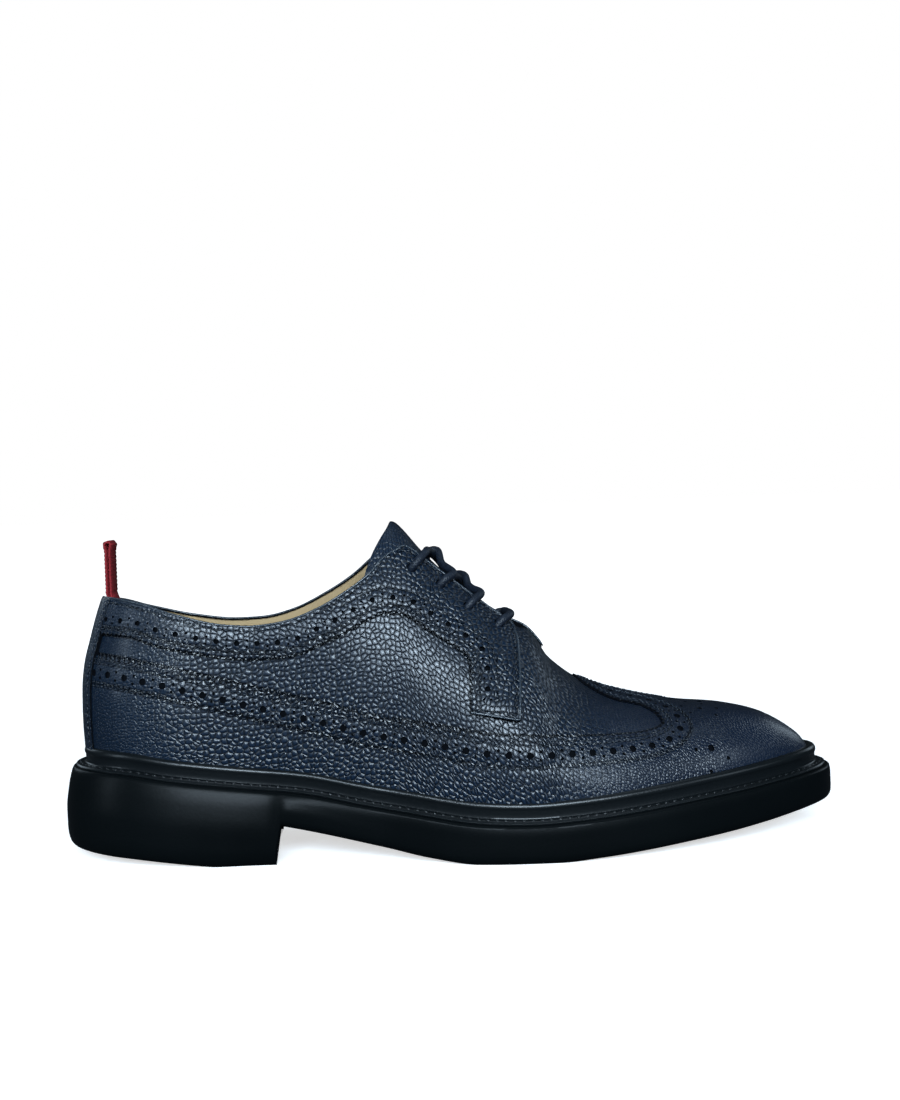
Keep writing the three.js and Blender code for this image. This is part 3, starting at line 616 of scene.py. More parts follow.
    def spot(self, angle: Array, up: Array) -> Array:
        """Returns the places round and up the form of an angle and a share up."""
        girth = np.interp(angle, self.angles, self.girths)
        return np.stack([np.interp(angle, self.angles, self.rounds), up * girth], -1)

    def lift(self, spots: Array, out: Array | float = 0.0) -> Array:
        """Returns the points over places of the form at a distance from it."""
        return self.surface(*self.where(spots), out)

    def _found(self, at: Array, sign: Array | int, climb: Callable[[dict], Array]) -> Array:
        """Finds places of the form by closing in on their angles.

        Args:
            at: shares of the sole's length.
            sign: the sign of each place's angle.
            climb: gives the share up the form from the section at a place.

        Returns:
            The places round and up the form.
        """
        steps, margin = 14, 0.002
        x = self.place_of(at)
        angle = np.arccos(1 - 2 * np.clip(self.share_at(x), 0, 1))
        for _ in range(steps):
            share = climb(self.section(sign * angle))
            gap = x - self.point(sign * angle, share)[..., 0]
            angle = np.clip(angle + gap * 2 / self.sizes.sole_length, margin, math.pi - margin)
        return self.spot(sign * angle, share)

    def beside(self, at: Array, up: Array, side: Side) -> Array:
        """Finds places of the form from the side.

        Args:
            at: shares of the sole's length.
            up: shares of the collar's rise.
            side: side of the shoe.

        Returns:
            The places round and up the form.
        """
        at, z = np.asarray(at, float), self.height_of(np.asarray(up, float))
        lift = z - self.ledge(self.place_of(at)) - self.sizes.clearance

        def climb(section: dict[str, Array]) -> Array:
            """Returns the share up the form at the sought height."""
            high = np.clip(lift / section["rise"], 0, 1)
            return np.arcsin(high ** (section["full"] / 2)) * 2 / math.pi

        return self._found(at, side.value, climb)

    def above(self, at: Array, off: Array) -> Array:
        """Finds places of the form from above.

        Args:
            at: shares of the sole's length.
            off: distances to the inner side of the ridge, negative to the outer side.

        Returns:
            The places round and up the form.
        """

        def climb(section: dict[str, Array]) -> Array:
            """Returns the share up the form at the sought distance off the ridge."""
            half = section["foot"][..., 1] - section["ridge_y"]
            away = np.clip(off / half, 0, 1)
            return np.arccos(away ** (section["full"] / 2)) * 2 / math.pi

        return self._found(np.asarray(at, float), np.where(off < 0, 1.0, -1.0), climb)

    def chart(self, spots: Array, over_ridge: bool) -> Array:
        """Returns flat coordinates for a grain, whole round the heel or over the ridge."""
        angle, up = self.where(spots)
        column = np.interp(angle, self.angles, np.arange(len(self.angles)))
        left, course = column.astype(int), up * (len(self.climbs) - 1)
        low = np.minimum(course.astype(int), len(self.climbs) - 2)
        right = np.minimum(left + 1, len(self.angles) - 1)
        low_climb = mix(self.climbs[low, left], self.climbs[low, right], column - left)
        high_climb = mix(self.climbs[low + 1, left], self.climbs[low + 1, right], column - left)
        climb = mix(low_climb, high_climb, course - low)
        if not over_ridge:
            return np.stack([spots[:, 0], climb], -1)
        sides = [np.abs(np.interp(sign * angle, self.angles, self.rounds)) for sign in (1, -1)]
        girth = np.interp(angle, self.angles, self.girths)
        return np.stack([(sides[0] + sides[1]) / 2, np.sign(spots[:, 0]) * (girth - climb)], -1)

    def ridge(self, at: Array, side: Side) -> Array:
        """Returns places on the ridge, on one side's half of the form."""
        tiny = -1e-6 if side is Side.OUTER else 1e-6
        return self.above(at, np.full(np.shape(at), tiny))

    def tangents(self, spots: Array) -> tuple[Array, Array]:
        """Returns how the form's point moves with each of a place's two distances."""
        step = 0.05
        results = []
        for axis in (0, 1):
            ends = []
            for sign in (-1, 1):
                moved = spots.copy()
                moved[..., axis] += sign * step
                girth = np.interp(moved[..., 0], self.rounds, self.girths)
                moved[..., 1] = np.clip(moved[..., 1], 0, girth)
                ends.append((moved, self.point(*self.where(moved))))
            run = np.abs(ends[1][0][..., axis] - ends[0][0][..., axis])[..., None]
            results.append((ends[1][1] - ends[0][1]) / np.maximum(run, 1e-6))
        return results[0], results[1]

    def moves(self, spots: Array, vectors: Array) -> Array:
        """Returns the changes of place that move points of the form by vectors along it."""
        along, up = self.tangents(spots)
        a, b, c = ((p * q).sum(-1) for p, q in ((along, along), (along, up), (up, up)))
        p, q = (vectors * along).sum(-1), (vectors * up).sum(-1)
        scale = np.maximum(a * c - b * b, 1e-9)
        return np.stack([c * p - b * q, a * q - b * p], -1) / scale[..., None]

    def spaced(self, spots: Array, step: float) -> Array:
        """Returns places along a line at even distances near a step."""
        run = np.linalg.norm(np.diff(self.lift(spots), axis=0), axis=1)
        length = np.concatenate([[0], np.cumsum(run)])
        count = max(2, round(length[-1] / step) + 1)
        goal = np.linspace(0, length[-1], count)
        return np.stack([np.interp(goal, length, spots[:, k]) for k in (0, 1)], -1)

    def shifted(self, spots: Array, distance: Array | float) -> Array:
        """Returns a line moved sideways over the form, to its left seen from outside."""
        run = unit(np.gradient(self.lift(spots), axis=0))
        left = np.cross(self.normal(*self.where(spots)), run)
        return spots + self.moves(spots, left * np.asarray(distance).reshape(-1, 1))

    def ring(self, spot: Array, radius: float, count: int) -> Array:
        """Returns places on a circle drawn on the form round a place."""
        spots = np.repeat(spot[None], count, 0)
        along = unit(self.tangents(spots)[0])
        across = np.cross(self.normal(*self.where(spots)), along)
        turn = np.linspace(0, 2 * math.pi, count, endpoint=False)[:, None]
        return spots + self.moves(spots, radius * (np.cos(turn) * along + np.sin(turn) * across))


def crossing(first: Array, second: Array) -> tuple[int, int, Array]:
    """Finds where two lines cross.

    Args:
        first: places along one line.
        second: places along the other.

    Returns:
        The stretch of each line that crosses, and the crossing's place.
    """
    for i in range(len(first) - 1):
        a, b = first[i], first[i + 1] - first[i]
        for j in range(len(second) - 1):
            c, d = second[j], second[j + 1] - second[j]
            turn = b[0] * d[1] - b[1] * d[0]
            if abs(turn) < 1e-12:
                continue
            gap = c - a
            t = (gap[0] * d[1] - gap[1] * d[0]) / turn
            u = (gap[0] * b[1] - gap[1] * b[0]) / turn
            if 0 <= t <= 1 and 0 <= u <= 1:
                return i, j, a + b * t
    raise ValueError("the two lines never cross")


def smoothed(line: Array, times: int) -> Array:
    """Returns a line evened out a number of times, with its ends left in place."""
    line = line.copy()
    for _ in range(times):
        line[1:-1] = (line[:-2] + 2 * line[1:-1] + line[2:]) / 4
    return line


def within(spots: Array, outline: Array) -> Array:
    """Returns which places lie inside a closed outline."""
    x, y = spots[:, 0], spots[:, 1]
    found = np.zeros(len(spots), bool)
    for (x0, y0), (x1, y1) in zip(outline, np.roll(outline, -1, 0)):
        if y0 != y1:
            found ^= ((y0 > y) != (y1 > y)) & (x < (x1 - x0) * (y - y0) / (y1 - y0) + x0)
    return found


def nearest(spots: Array, marks: Array) -> Array:
    """Returns the distance from each place to the nearest mark."""
    tree = KDTree(len(marks))
    for i, mark in enumerate(marks):
        tree.insert((mark[0], mark[1], 0), i)
    tree.balance()
    return np.array([tree.find((x, y, 0))[2] for x, y in spots])


def make_piece(
    name: str,
    points: Array,
    faces: Faces,
    finishes: list[Material],
    slots: list[int] | None = None,
    weld: bool = False,
    sharp: float = 38.0,
    chart: Array | None = None,
    painted_shade: Array | None = None,
) -> Piece:
    """Makes one smooth-shaded mesh object.

    Args:
        name: the piece's name.
        points: corners in metres.
        faces: corner numbers of each face, anticlockwise from outside.
        finishes: the piece's materials.
        slots: the material number of each face, or None for the first one.
        weld: whether corners at one place are joined.
        sharp: angle in degrees over which an edge stays sharp.
        chart: flat coordinates of each corner for the grain, in metres.
        painted_shade: how much painted shade each corner gets, in a seam or under an edge, from 0
            to 1.

    Returns:
        The new object.
    """
    mesh = bpy.data.meshes.new(name)
    sources = faces
    if weld:
        points, faces, slots, sources = welded(points, faces, slots)
    mesh.from_pydata([tuple(map(float, p)) for p in points], [], faces)
    if chart is not None:
        corners = np.concatenate([np.array(face) for face in sources])
        layer = mesh.uv_layers.new(name="grain")
        layer.data.foreach_set("uv", chart[corners].astype(np.float32).ravel())
        # Painted shade per corner, in seams, by cut edges and beside overlays' edges, kept as a
        # layer that darkens the grained leather.
        if painted_shade is not None:
            shade_layer = mesh.attributes.new("painted_shade", "FLOAT", "CORNER")
            shade_layer.data.foreach_set("value", painted_shade[corners].astype(np.float32))
    for finish in finishes:
        mesh.materials.append(finish)
    if slots is not None:
        mesh.polygons.foreach_set("material_index", slots)
    mesh.validate()
    mesh.polygons.foreach_set("use_smooth", [True] * len(mesh.polygons))
    mesh.set_sharp_from_angle(angle=math.radians(sharp))
    piece = bpy.data.objects.new(name, mesh)
    bpy.context.scene.collection.objects.link(piece)
    return piece


def welded(
    points: Array, faces: Faces, slots: list[int] | None
) -> tuple[Array, Faces, list[int] | None, Faces]:
    """Joins corners that lie at one place and drops faces that vanish.

    Args:
        points: corners in metres.
        faces: corner numbers of each face.
        slots: the material number of each face, or None.

    Returns:
        The corners, faces and slots that are left, and each face's corners by their old numbers.
    """
    grain = 2e-5
    keys: dict[tuple[int, ...], int] = {}
    renamed = [keys.setdefault(tuple(k), len(keys)) for k in np.round(points / grain).astype(int)]
    firsts = np.zeros(len(keys), int)
    for old, new in reversed(list(enumerate(renamed))):
        firsts[new] = old
    kept, kept_slots, sources = [], [], []
    for i, face in enumerate(faces):
        pairs = [(renamed[k], k) for k in face]
        pairs = [pair for k, pair in enumerate(pairs) if pair[0] != pairs[k - 1][0]]
        corners = [pair[0] for pair in pairs]
        if len(corners) > 2 and len(set(corners)) == len(corners):
            kept.append(tuple(corners))
            kept_slots.append(slots[i] if slots is not None else 0)
            sources.append(tuple(pair[1] for pair in pairs))
    return points[firsts], kept, kept_slots if slots is not None else None, sources


def grid_faces(rows: int, columns: int, closed: bool = False) -> Faces:
    """Returns the quads of a grid of points, its rows closed into rings if asked."""
    faces = []
    for i in range(rows - 1):
        low, high = i * columns, (i + 1) * columns
        for j in range(columns if closed else columns - 1):
            k = (j + 1) % columns
            faces.append((low + j, low + k, high + k, high + j))
    return faces


def rod_faces(rings: int, sides: int) -> Faces:
    """Returns the faces of a row of rings of points, with both ends closed."""
    faces = grid_faces(rings, sides, closed=True)
    faces.append(tuple(reversed(range(sides))))
    faces.append(tuple(range((rings - 1) * sides, rings * sides)))
    return faces


@dataclass
class Lift:
    """A stretch of a panel that stands away from what lies under it."""

    marks: Array
    amount: float
    reach: float

    def at(self, spots: Array) -> Array:
        """Returns how far the panel lifts at places of the form."""
        return self.amount * np.exp(-((nearest(spots, self.marks) / self.reach) ** 2))


@dataclass
class Punch:
    """A round hole in a panel."""

    spot: Array
    radius: float


@dataclass
class Panel:
    """A leather panel on the last, with cut edges, punched holes and sewn grooves."""

    name: str
    last: Last
    outline: Outline
    height: float
    thickness: float
    spacing: float
    punches: list[Punch] = field(default_factory=list)
    seams: list[Array] = field(default_factory=list)
    floor_gap: float = 0.12
    edge_drop: float = 0.35
    edge_width: float = 1.1
    seam_depth: float = 0.22
    seam_width: float = 0.75
    facing_in: bool = False
    over_ridge: bool = False
    lifts: list[Lift] = field(default_factory=list)
    # Lines beside which the face gets painted shade, where a neighbouring overlay's shadow falls.
    shades: list[Array] = field(default_factory=list)
    shade_width: float = 0.5
    mark_step: float = 0.5
    edge_step: float = 0.6
    row_spacing: float = 0.8
    seam_rows: tuple[float, ...] = (-0.9, 0.9)
    edge_rows: tuple[float, ...] = (0.7, 1.5, -0.7, -1.5)
    row_room: float = 0.45
    net_room: float = 0.6
    hole_room: float = 1.25
    large_hole: float = 1.2

    def _rim(self) -> tuple[Array, list[Cut]]:
        """Returns the closed outline's places and how the stretch after each one ends."""
        spots, kinds = [], []
        for line, kind in self.outline:
            spots.append(line[:-1])
            kinds.extend([kind] * (len(line) - 1))
        return np.concatenate(spots), kinds

    def relief(self, spots: Array) -> Array:
        """Returns the height of the panel's face over the last at each place."""
        heights = self.height - creases(self.last, spots)
        for lift in self.lifts:
            heights += lift.at(spots)
        raw = [line for line, kind in self.outline if kind is Cut.RAW]
        if raw and self.edge_drop:
            marks = np.concatenate([self.last.spaced(line, self.edge_step) for line in raw])
            near = np.clip(1 - nearest(spots, marks) / self.edge_width, 0, 1)
            heights -= self.edge_drop * near**2
        if self.seams:
            marks = np.concatenate([self.last.spaced(line, self.mark_step) for line in self.seams])
            near = np.exp(-((nearest(spots, marks) / self.seam_width) ** 2))
            heights -= self.seam_depth * near
        return heights

    def painted_shades(self, spots: Array) -> Array:
        """Returns how much painted shade each place gets, in a seam, by a cut edge or under a
        neighbour's edge.
        """
        raw = [line for line, kind in self.outline if kind is Cut.RAW]
        lines = [*raw, *self.seams, *self.shades]
        if not lines:
            return np.zeros(len(spots))
        marks = np.concatenate([self.last.spaced(line, self.mark_step) for line in lines])
        return np.exp(-((nearest(spots, marks) / self.shade_width) ** 2))

    def _rows(self) -> Array:
        """Returns extra places beside the seams, the shades and the cut edges."""
        step = self.spacing * self.row_spacing
        rows = [self.last.spaced(line, step) for line in [*self.seams, *self.shades]]
        rows += [self.last.shifted(row, d) for row in rows[:] for d in self.seam_rows]
        for line, kind in self.outline:
            if kind is Cut.RAW and self.edge_drop:
                dense = self.last.spaced(line, step)
                rows += [self.last.shifted(dense, d) for d in self.edge_rows]
        return np.concatenate(rows) if rows else np.zeros((0, 2))

    def _lattice(self, rim: Array) -> Array:
        """Returns the places of an even net of triangles over a rim's reach."""
        low, high = rim.min(0), rim.max(0)
        along = np.arange(low[0], high[0], self.spacing)
        up = np.arange(low[1], high[1], self.spacing * TRIANGLE_HEIGHT)
        grid = np.stack(np.meshgrid(along, up, indexing="ij"), -1)
        grid[:, 1::2, 0] += self.spacing / 2
        return grid.reshape(-1, 2)

    def _net(self, rim: Array, rings: list[Array]) -> Array:
        """Returns the net's places: the rim's, the holes', and then the free ones."""
        fixed = np.concatenate([rim, *rings]) if rings else rim
        rooms = ((self._rows(), self.row_room), (self._lattice(rim), self.net_room * self.spacing))
        for batch, room in rooms:
            if not len(batch):
                continue
            batch = batch[within(batch, rim)]
            for punch in self.punches:
                away = np.linalg.norm(batch - punch.spot, axis=1)
                batch = batch[away > punch.radius * self.hole_room]
            batch = batch[nearest(batch, fixed) > room]
            fixed = np.concatenate([fixed, thinned(batch, room)])
        return fixed

    def _sides(self, punch: Punch) -> int:
        """Returns how many corners a hole's rim has."""
        return 12 if punch.radius > self.large_hole else 8

    def build(self, face: Material, cut: Material) -> Piece:
        """Makes the panel's mesh.

        Args:
            face: the leather's finish.
            cut: the near-black finish of cut edges and punched holes: painted shade in the holes,
                and on the edges partly their own dark and partly painted shade.

        Returns:
            The panel's object.
        """
        rim, kinds = self._rim()
        rings = [self.last.ring(p.spot, p.radius, self._sides(p)) for p in self.punches]
        net = self._net(rim, rings)
        loops, start = [np.arange(len(rim))], len(rim)
        owner = np.full(len(net), -1)
        for number, ring in enumerate(rings):
            loops.append(np.arange(start, start + len(ring)))
            owner[loops[-1]] = number
            start += len(ring)
        edges = [edge for loop in loops for edge in zip(loop.tolist(), np.roll(loop, -1).tolist())]
        made = delaunay_2d_cdt([Vector(spot) for spot in net], edges, [], 0, 1e-7)
        spots, corners = np.array([tuple(v) for v in made[0]]), np.array(made[2], int)
        origin = np.array([ids[0] if ids else -1 for ids in made[3]])
        owners = np.where(origin >= 0, owner[origin], -1)[corners]
        hole = (owners[:, 0] >= 0) & (owners == owners[:, :1]).all(1)
        corners = corners[within(spots[corners].mean(1), rim) & ~hole]
        faces = [tuple(c) for c in corners]
        slots = [0] * len(faces)
        back = {old: new for new, ids in enumerate(made[3]) for old in ids}
        floor = self.height - self.thickness
        points = [self.last.lift(spots, self.relief(spots)), self.last.lift(rim, floor)]
        count = len(spots)
        for i, kind in enumerate(kinds):
            if kind is Cut.RAW:
                k = (i + 1) % len(rim)
                faces.append((back[i], count + i, count + k, back[k]))
        count += len(rim)
        # Each hole gets walls and a floor just over the layer below, in the near-black cut finish:
        # painted shade inside the hole.
        for loop, ring in zip(loops[1:], rings):
            n = len(ring)
            points.append(self.last.lift(ring, max(floor, 0.0) + self.floor_gap))
            for i in range(n):
                k = (i + 1) % n
                faces.append((back[loop[i]], back[loop[k]], count + k, count + i))
            faces.append(tuple(range(count, count + n)))
            count += n
        slots += [1] * (len(faces) - len(slots))
        if self.facing_in:
            faces = [tuple(reversed(face)) for face in faces]
        metre = self.last.metre
        chart = self.last.chart(np.concatenate([spots, rim, *rings]), self.over_ridge) * metre
        # Painted shade: the face's corners get it by seams, edges and shade lines; the floor
        # corners get it in full.
        painted_shade = np.ones(len(chart))
        painted_shade[: len(spots)] = self.painted_shades(spots)
        metres = np.concatenate(points) * metre
        return make_piece(
            self.name, metres, faces, [face, cut], slots, True, chart=chart, painted_shade=painted_shade
        )


def thinned(spots: Array, room: float) -> Array:
    """Returns the places left when no two are closer than about a room apart."""
    seen: set[tuple[int, int]] = set()
    kept = []
    for spot, cell in zip(spots, np.floor(spots / room).astype(int)):
        key = (int(cell[0]), int(cell[1]))
        if key not in seen:
            seen.add(key)
            kept.append(spot)
    return np.array(kept).reshape(-1, 2)


# The welt's thin lip over the ledge: distance in from the sole's edge, and height
WELT_LIP = Table("into up", (1.3, -0.25), (1.1, 0.25), (1.35, 0.75), (1.8, 0.95))

# The welt's band under the bead: distance in from its outer face, and height
WELT_BAND = Table("into up", (-1.0, 0.95), (-0.35, 1.0), (0.05, 1.35), (0.12, 1.8))

# Height of an even triangle over its side
TRIANGLE_HEIGHT = 0.866

# Soft creases across the vamp: place as a share of the length, half width and depth, and where
# each one begins, as a share of the way up the form
CREASES = Table(
    "at half depth low",
    (0.655, 4.0, 0.1, 0.35),
    (0.69, 5.0, 0.09, 0.3),
    (0.73, 6.0, 0.07, 0.4),
)


def creases(last: Last, spots: Array) -> Array:
    """Returns the depth of the soft creases at places of the form."""
    bow, fade, over_ridge = 6, 0.3, 0.6
    angle, up = last.where(spots)
    x = last.point(angle, up)[..., 0]
    depth = np.zeros(len(spots))
    for at, half, deep, low in CREASES:
        near = np.exp(-(((x - last.place_of(at) + bow * (1 - up)) / half) ** 2))
        depth += deep * near * ease(low, low + fade, up) * (1 - over_ridge * ease(0.9, 1, up))
    return depth


# One stitch: share of its length, girth and rise as shares of the thread's radius
STITCH = Table(
    "share girth sink",
    (0.0, 0.35, -1.2),
    (0.2, 0.9, -0.2),
    (0.5, 1.0, 0.15),
    (0.8, 0.9, -0.2),
    (1.0, 0.35, -1.2),
)


@dataclass
class StitchRows:
    """Rows of small stitches on the last, joined into one piece."""

    name: str
    last: Last
    pitch: float = 2.5
    length: float = 1.75
    radius: float = 0.27
    rows: list[tuple[Array, float, list[Lift]]] = field(default_factory=list)

    def add(self, line: Array, height: float, lifts: list[Lift] | None = None) -> None:
        """Adds a row along a line, at a height over the last and on its panel's lifts."""
        self.rows.append((line, height, lifts or []))

    def build(self, finish: Material) -> Piece:
        """Makes every stitch of every row."""
        starts, ends, ups = [], [], []
        for line, height, lifts in self.rows:
            spots = self.last.spaced(line, self.pitch)
            raised = height + sum(lift.at(spots) for lift in lifts) + np.zeros(len(spots))
            points = self.last.lift(spots, raised)
            run = unit(np.gradient(points, axis=0))
            starts.append(points - run * self.length / 2)
            ends.append(points + run * self.length / 2)
            ups.append(self.last.normal(*self.last.where(spots)))
        arrays = [np.concatenate(group) for group in (starts, ends, ups)]
        return stitch_mesh(self.name, *arrays, self.radius, self.last.metre, finish)


def stitch_mesh(
    name: str,
    starts: Array,
    ends: Array,
    ups: Array,
    radius: float,
    metre: float,
    finish: Material,
) -> Piece:
    """Makes one mesh of many small stitches.

    Args:
        name: the piece's name.
        starts: where each stitch goes in.
        ends: where it comes out.
        ups: the surface's normal at each stitch.
        radius: the thread's radius.
        metre: metres in one of the points' units.
        finish: the thread's finish.

    Returns:
        The stitches as one object.
    """
    sides, count = 6, len(STITCH["share"])
    across = unit(np.cross(ups, unit(ends - starts)))
    rings = []
    for share, girth, sink in STITCH:
        middle = mix(starts, ends, share) + ups * sink * radius
        for turn in np.linspace(0, 2 * math.pi, sides, endpoint=False):
            reach = across * math.cos(turn) + ups * math.sin(turn)
            rings.append(middle + reach * radius * girth)
    points = np.stack(rings, 1).reshape(-1, 3) * metre
    one = rod_faces(count, sides)
    size = count * sides
    faces = [tuple(c + k * size for c in face) for k in range(len(starts)) for face in one]
    return make_piece(name, points, faces, [finish], sharp=80)


def tube(path: Array, radius: float, sides: int) -> Array:
    """Makes the rings of a round tube along a path.

    Args:
        path: points along its middle.
        radius: its radius.
        sides: corners of its section.

    Returns:
        The corners, ring by ring.
    """
    run = unit(np.gradient(path, axis=0))
    side = unit(np.cross(run[0], (0.3, 0.2, 0.93)))
    turns = np.linspace(0, 2 * math.pi, sides, endpoint=False)[:, None]
    sections = []
    for point, ahead in zip(path, run):
        side = unit(side - ahead * side.dot(ahead))
        over = np.cross(ahead, side)
        sections.append(point + radius * (np.cos(turns) * side + np.sin(turns) * over))
    return np.concatenate(sections)


def make_tubes(
    name: str,
    paths: list[Array],
    radius: float,
    sides: int,
    metre: float,
    finish: Material,
) -> Piece:
    """Makes one piece of closed round tubes.

    Args:
        name: the piece's name.
        paths: points along the middle of each tube.
        radius: the tubes' radius.
        sides: corners of a tube's section.
        metre: metres in one of the points' units.
        finish: the tubes' finish.

    Returns:
        The tubes as one object.
    """
    points, faces, count = [], [], 0
    for path in paths:
        points.append(tube(path, radius, sides))
        faces += [tuple(c + count for c in face) for face in rod_faces(len(path), sides)]
        count += len(points[-1])
    return make_piece(name, np.concatenate(points) * metre, faces, [finish], sharp=60)


def smooth_path(knots: Array, steps: int = 10) -> Array:
    """Returns a smooth path through knots, with chord-length spacing."""
    run = np.linalg.norm(np.diff(knots, axis=0), axis=1) ** 0.5
    place = np.concatenate([[0], np.cumsum(run)])
    slopes = np.gradient(knots, place, axis=0)
    points = []
    for i in range(len(knots) - 1):
        width = place[i + 1] - place[i]
        for t in np.linspace(0, 1, steps, endpoint=False):
            a, b = 1 - t, t
            points.append(
                knots[i] * a * a * (1 + 2 * b)
                + knots[i + 1] * b * b * (1 + 2 * a)
                + width * a * b * (slopes[i] * a - slopes[i + 1] * b)
            )
    points.append(knots[-1])
    return np.array(points)


class Shader:
    """A material's node tree, with short ways to add and join nodes."""

    def __init__(self, tree: NodeTree) -> None:
        """Starts on a tree."""
        self.tree = tree

    def node(self, kind: str, **values: object) -> Node:
        """Adds a node.

        Args:
            kind: the node's type name after ShaderNode.
            values: properties, or inputs by name with underscores for spaces.

        Returns:
            The new node.
        """
        node = self.tree.nodes.new("ShaderNode" + kind)
        for name, value in values.items():
            if hasattr(node, name):
                setattr(node, name, value)
            else:
                self.put(node, name.replace("_", " "), value)
        return node

    def put(self, node: Node, name: str | int, value: object) -> None:
        """Sets an input to a value or links it to a socket."""
        socket = node.inputs[name]
        if isinstance(value, Socket):
            self.tree.links.new(value, socket)
        else:
            socket.default_value = value

    def sum(self, operation: str, *terms: object) -> Socket:
        """Returns the result of one arithmetic step."""
        node = self.node("Math", operation=operation)
        for i, term in enumerate(terms):
            self.put(node, i, term)
        return node.outputs[0]

    def vector(self, operation: str, *terms: object, **values: object) -> Socket:
        """Returns the result of one step with vectors."""
        node = self.node("VectorMath", operation=operation, **values)
        for i, term in enumerate(terms):
            self.put(node, i, term)
        return node.outputs["Value" if operation == "LENGTH" else "Vector"]

    def spread(
        self, value: object, low: object, high: object, start: float = 0.0, end: float = 1.0
    ) -> Socket:
        """Returns a value eased from one range to another."""
        ranges = {"From_Min": low, "From_Max": high, "To_Min": start, "To_Max": end}
        node = self.node("MapRange", interpolation_type="SMOOTHSTEP", Value=value, **ranges)
        return node.outputs["Result"]

    def blend(self, share: object, first: object, second: object, how: str = "MIX") -> Socket:
        """Returns a blend of two colours."""
        node = self.node("Mix", data_type="RGBA", blend_type=how)
        self.put(node, 0, share)
        self.put(node, 6, first)
        self.put(node, 7, second)
        return node.outputs[2]


def new_group(name: str, inputs: dict, outputs: list[str]) -> tuple[Shader, dict]:
    """Makes an empty node group.

    Args:
        name: the group's name.
        inputs: its inputs and their usual values, or None for a vector.
        outputs: its number outputs.

    Returns:
        The group's shader, and its input sockets and output node by name.
    """
    tree = bpy.data.node_groups.new(name, "ShaderNodeTree")
    for label, value in inputs.items():
        kind = "NodeSocketVector" if value is None else "NodeSocketFloat"
        socket = tree.interface.new_socket(label, in_out="INPUT", socket_type=kind)
        if value is not None:
            socket.default_value = value
    for label in outputs:
        tree.interface.new_socket(label, in_out="OUTPUT", socket_type="NodeSocketFloat")
    shader = Shader(tree)
    entry = tree.nodes.new("NodeGroupInput")
    leave = tree.nodes.new("NodeGroupOutput")
    return shader, {"in": entry.outputs, "out": leave}


def place_in_object(shader: Shader) -> Socket:
    """Returns the object's own coordinates in metres."""
    return shader.node("TexCoord").outputs["Object"]


def place_on_chart(shader: Shader) -> Socket:
    """Returns the flat coordinates for the grain in metres."""
    return shader.node("TexCoord").outputs["UV"]


def pebble_group() -> NodeTree:
    """Makes the grain of pebbled leather: domes parted by creases, in cells of one size."""
    shader, ends = new_group(
        "pebble grain",
        {"Place": None, "Cells": 500.0, "Crease": 0.46, "Warp": 0.3, "Fine": 0.08},
        ["Height", "Valley"],
    )
    given = ends["in"]
    warp = shader.node("TexNoise", Vector=given["Place"], Scale=260.0, Detail=2.0)
    centred = shader.vector("SUBTRACT", warp.outputs["Color"], (0.5, 0.5, 0.5))
    size = shader.sum("DIVIDE", given["Warp"], given["Cells"])
    bent = shader.vector("ADD", given["Place"], shader.vector("SCALE", centred, Scale=size))
    mesh = {"Vector": bent, "Scale": given["Cells"], "Randomness": 0.85}
    mesh["voronoi_dimensions"] = "2D"
    cells = shader.node("TexVoronoi", feature="DISTANCE_TO_EDGE", **mesh)
    slope = shader.node("MapRange", Value=cells.outputs["Distance"], From_Max=given["Crease"])
    fall = shader.sum("SUBTRACT", 1.0, slope.outputs["Result"])
    dome = shader.sum("SUBTRACT", 1.0, shader.sum("MULTIPLY", fall, fall))
    centres = shader.node("TexVoronoi", feature="F1", **mesh)
    crown = shader.spread(centres.outputs["Distance"], 0.0, 0.75, 0.5, 0.0)
    fine = shader.node("TexNoise", Vector=given["Place"], Scale=2600.0, Detail=3.0)
    speck = shader.sum("MULTIPLY", fine.outputs["Fac"], given["Fine"])
    height = shader.sum("ADD", shader.sum("ADD", dome, crown), speck)
    shader.put(ends["out"], "Height", height)
    shader.put(ends["out"], "Valley", shader.sum("POWER", fall, 2.6))
    return shader.tree


def smooth_end_group() -> NodeTree:
    """Makes the masks of the brushed stretches: the toe, its very tip and the heel counter."""
    shader, ends = new_group(
        "brushed ends",
        {
            "Toe Start": 0.03,
            "Toe End": 0.085,
            "Heel Start": -0.085,
            "Heel End": -0.13,
            "Tip Start": 0.08,
            "Tip End": 0.13,
        },
        ["Toe", "Heel", "Tip"],
    )
    place = place_in_object(shader)
    parts = shader.node("SeparateXYZ", Vector=place)
    wander = shader.node("TexNoise", Vector=place, Scale=28.0, Detail=2.0)
    shift = shader.sum("MULTIPLY", shader.sum("SUBTRACT", wander.outputs["Fac"], 0.5), 0.03)
    along = shader.sum("ADD", parts.outputs["X"], shift)
    for label in ("Toe", "Heel", "Tip"):
        start, end = ends["in"][label + " Start"], ends["in"][label + " End"]
        shader.put(ends["out"], label, shader.spread(along, start, end))
    return shader.tree


def cloud_group() -> NodeTree:
    """Makes slow uneven tone, as dye and handling leave it."""
    shader, ends = new_group("uneven tone", {"Scale": 22.0, "Strength": 0.2}, ["Tone"])
    place, scale = place_in_object(shader), ends["in"]["Scale"]
    noise = shader.node("TexNoise", Vector=place, Scale=scale, Detail=4.0)
    centred = shader.sum("SUBTRACT", noise.outputs["Fac"], 0.5)
    scaled = shader.sum("MULTIPLY", centred, ends["in"]["Strength"])
    shader.put(ends["out"], "Tone", shader.sum("ADD", scaled, 1.0))
    return shader.tree


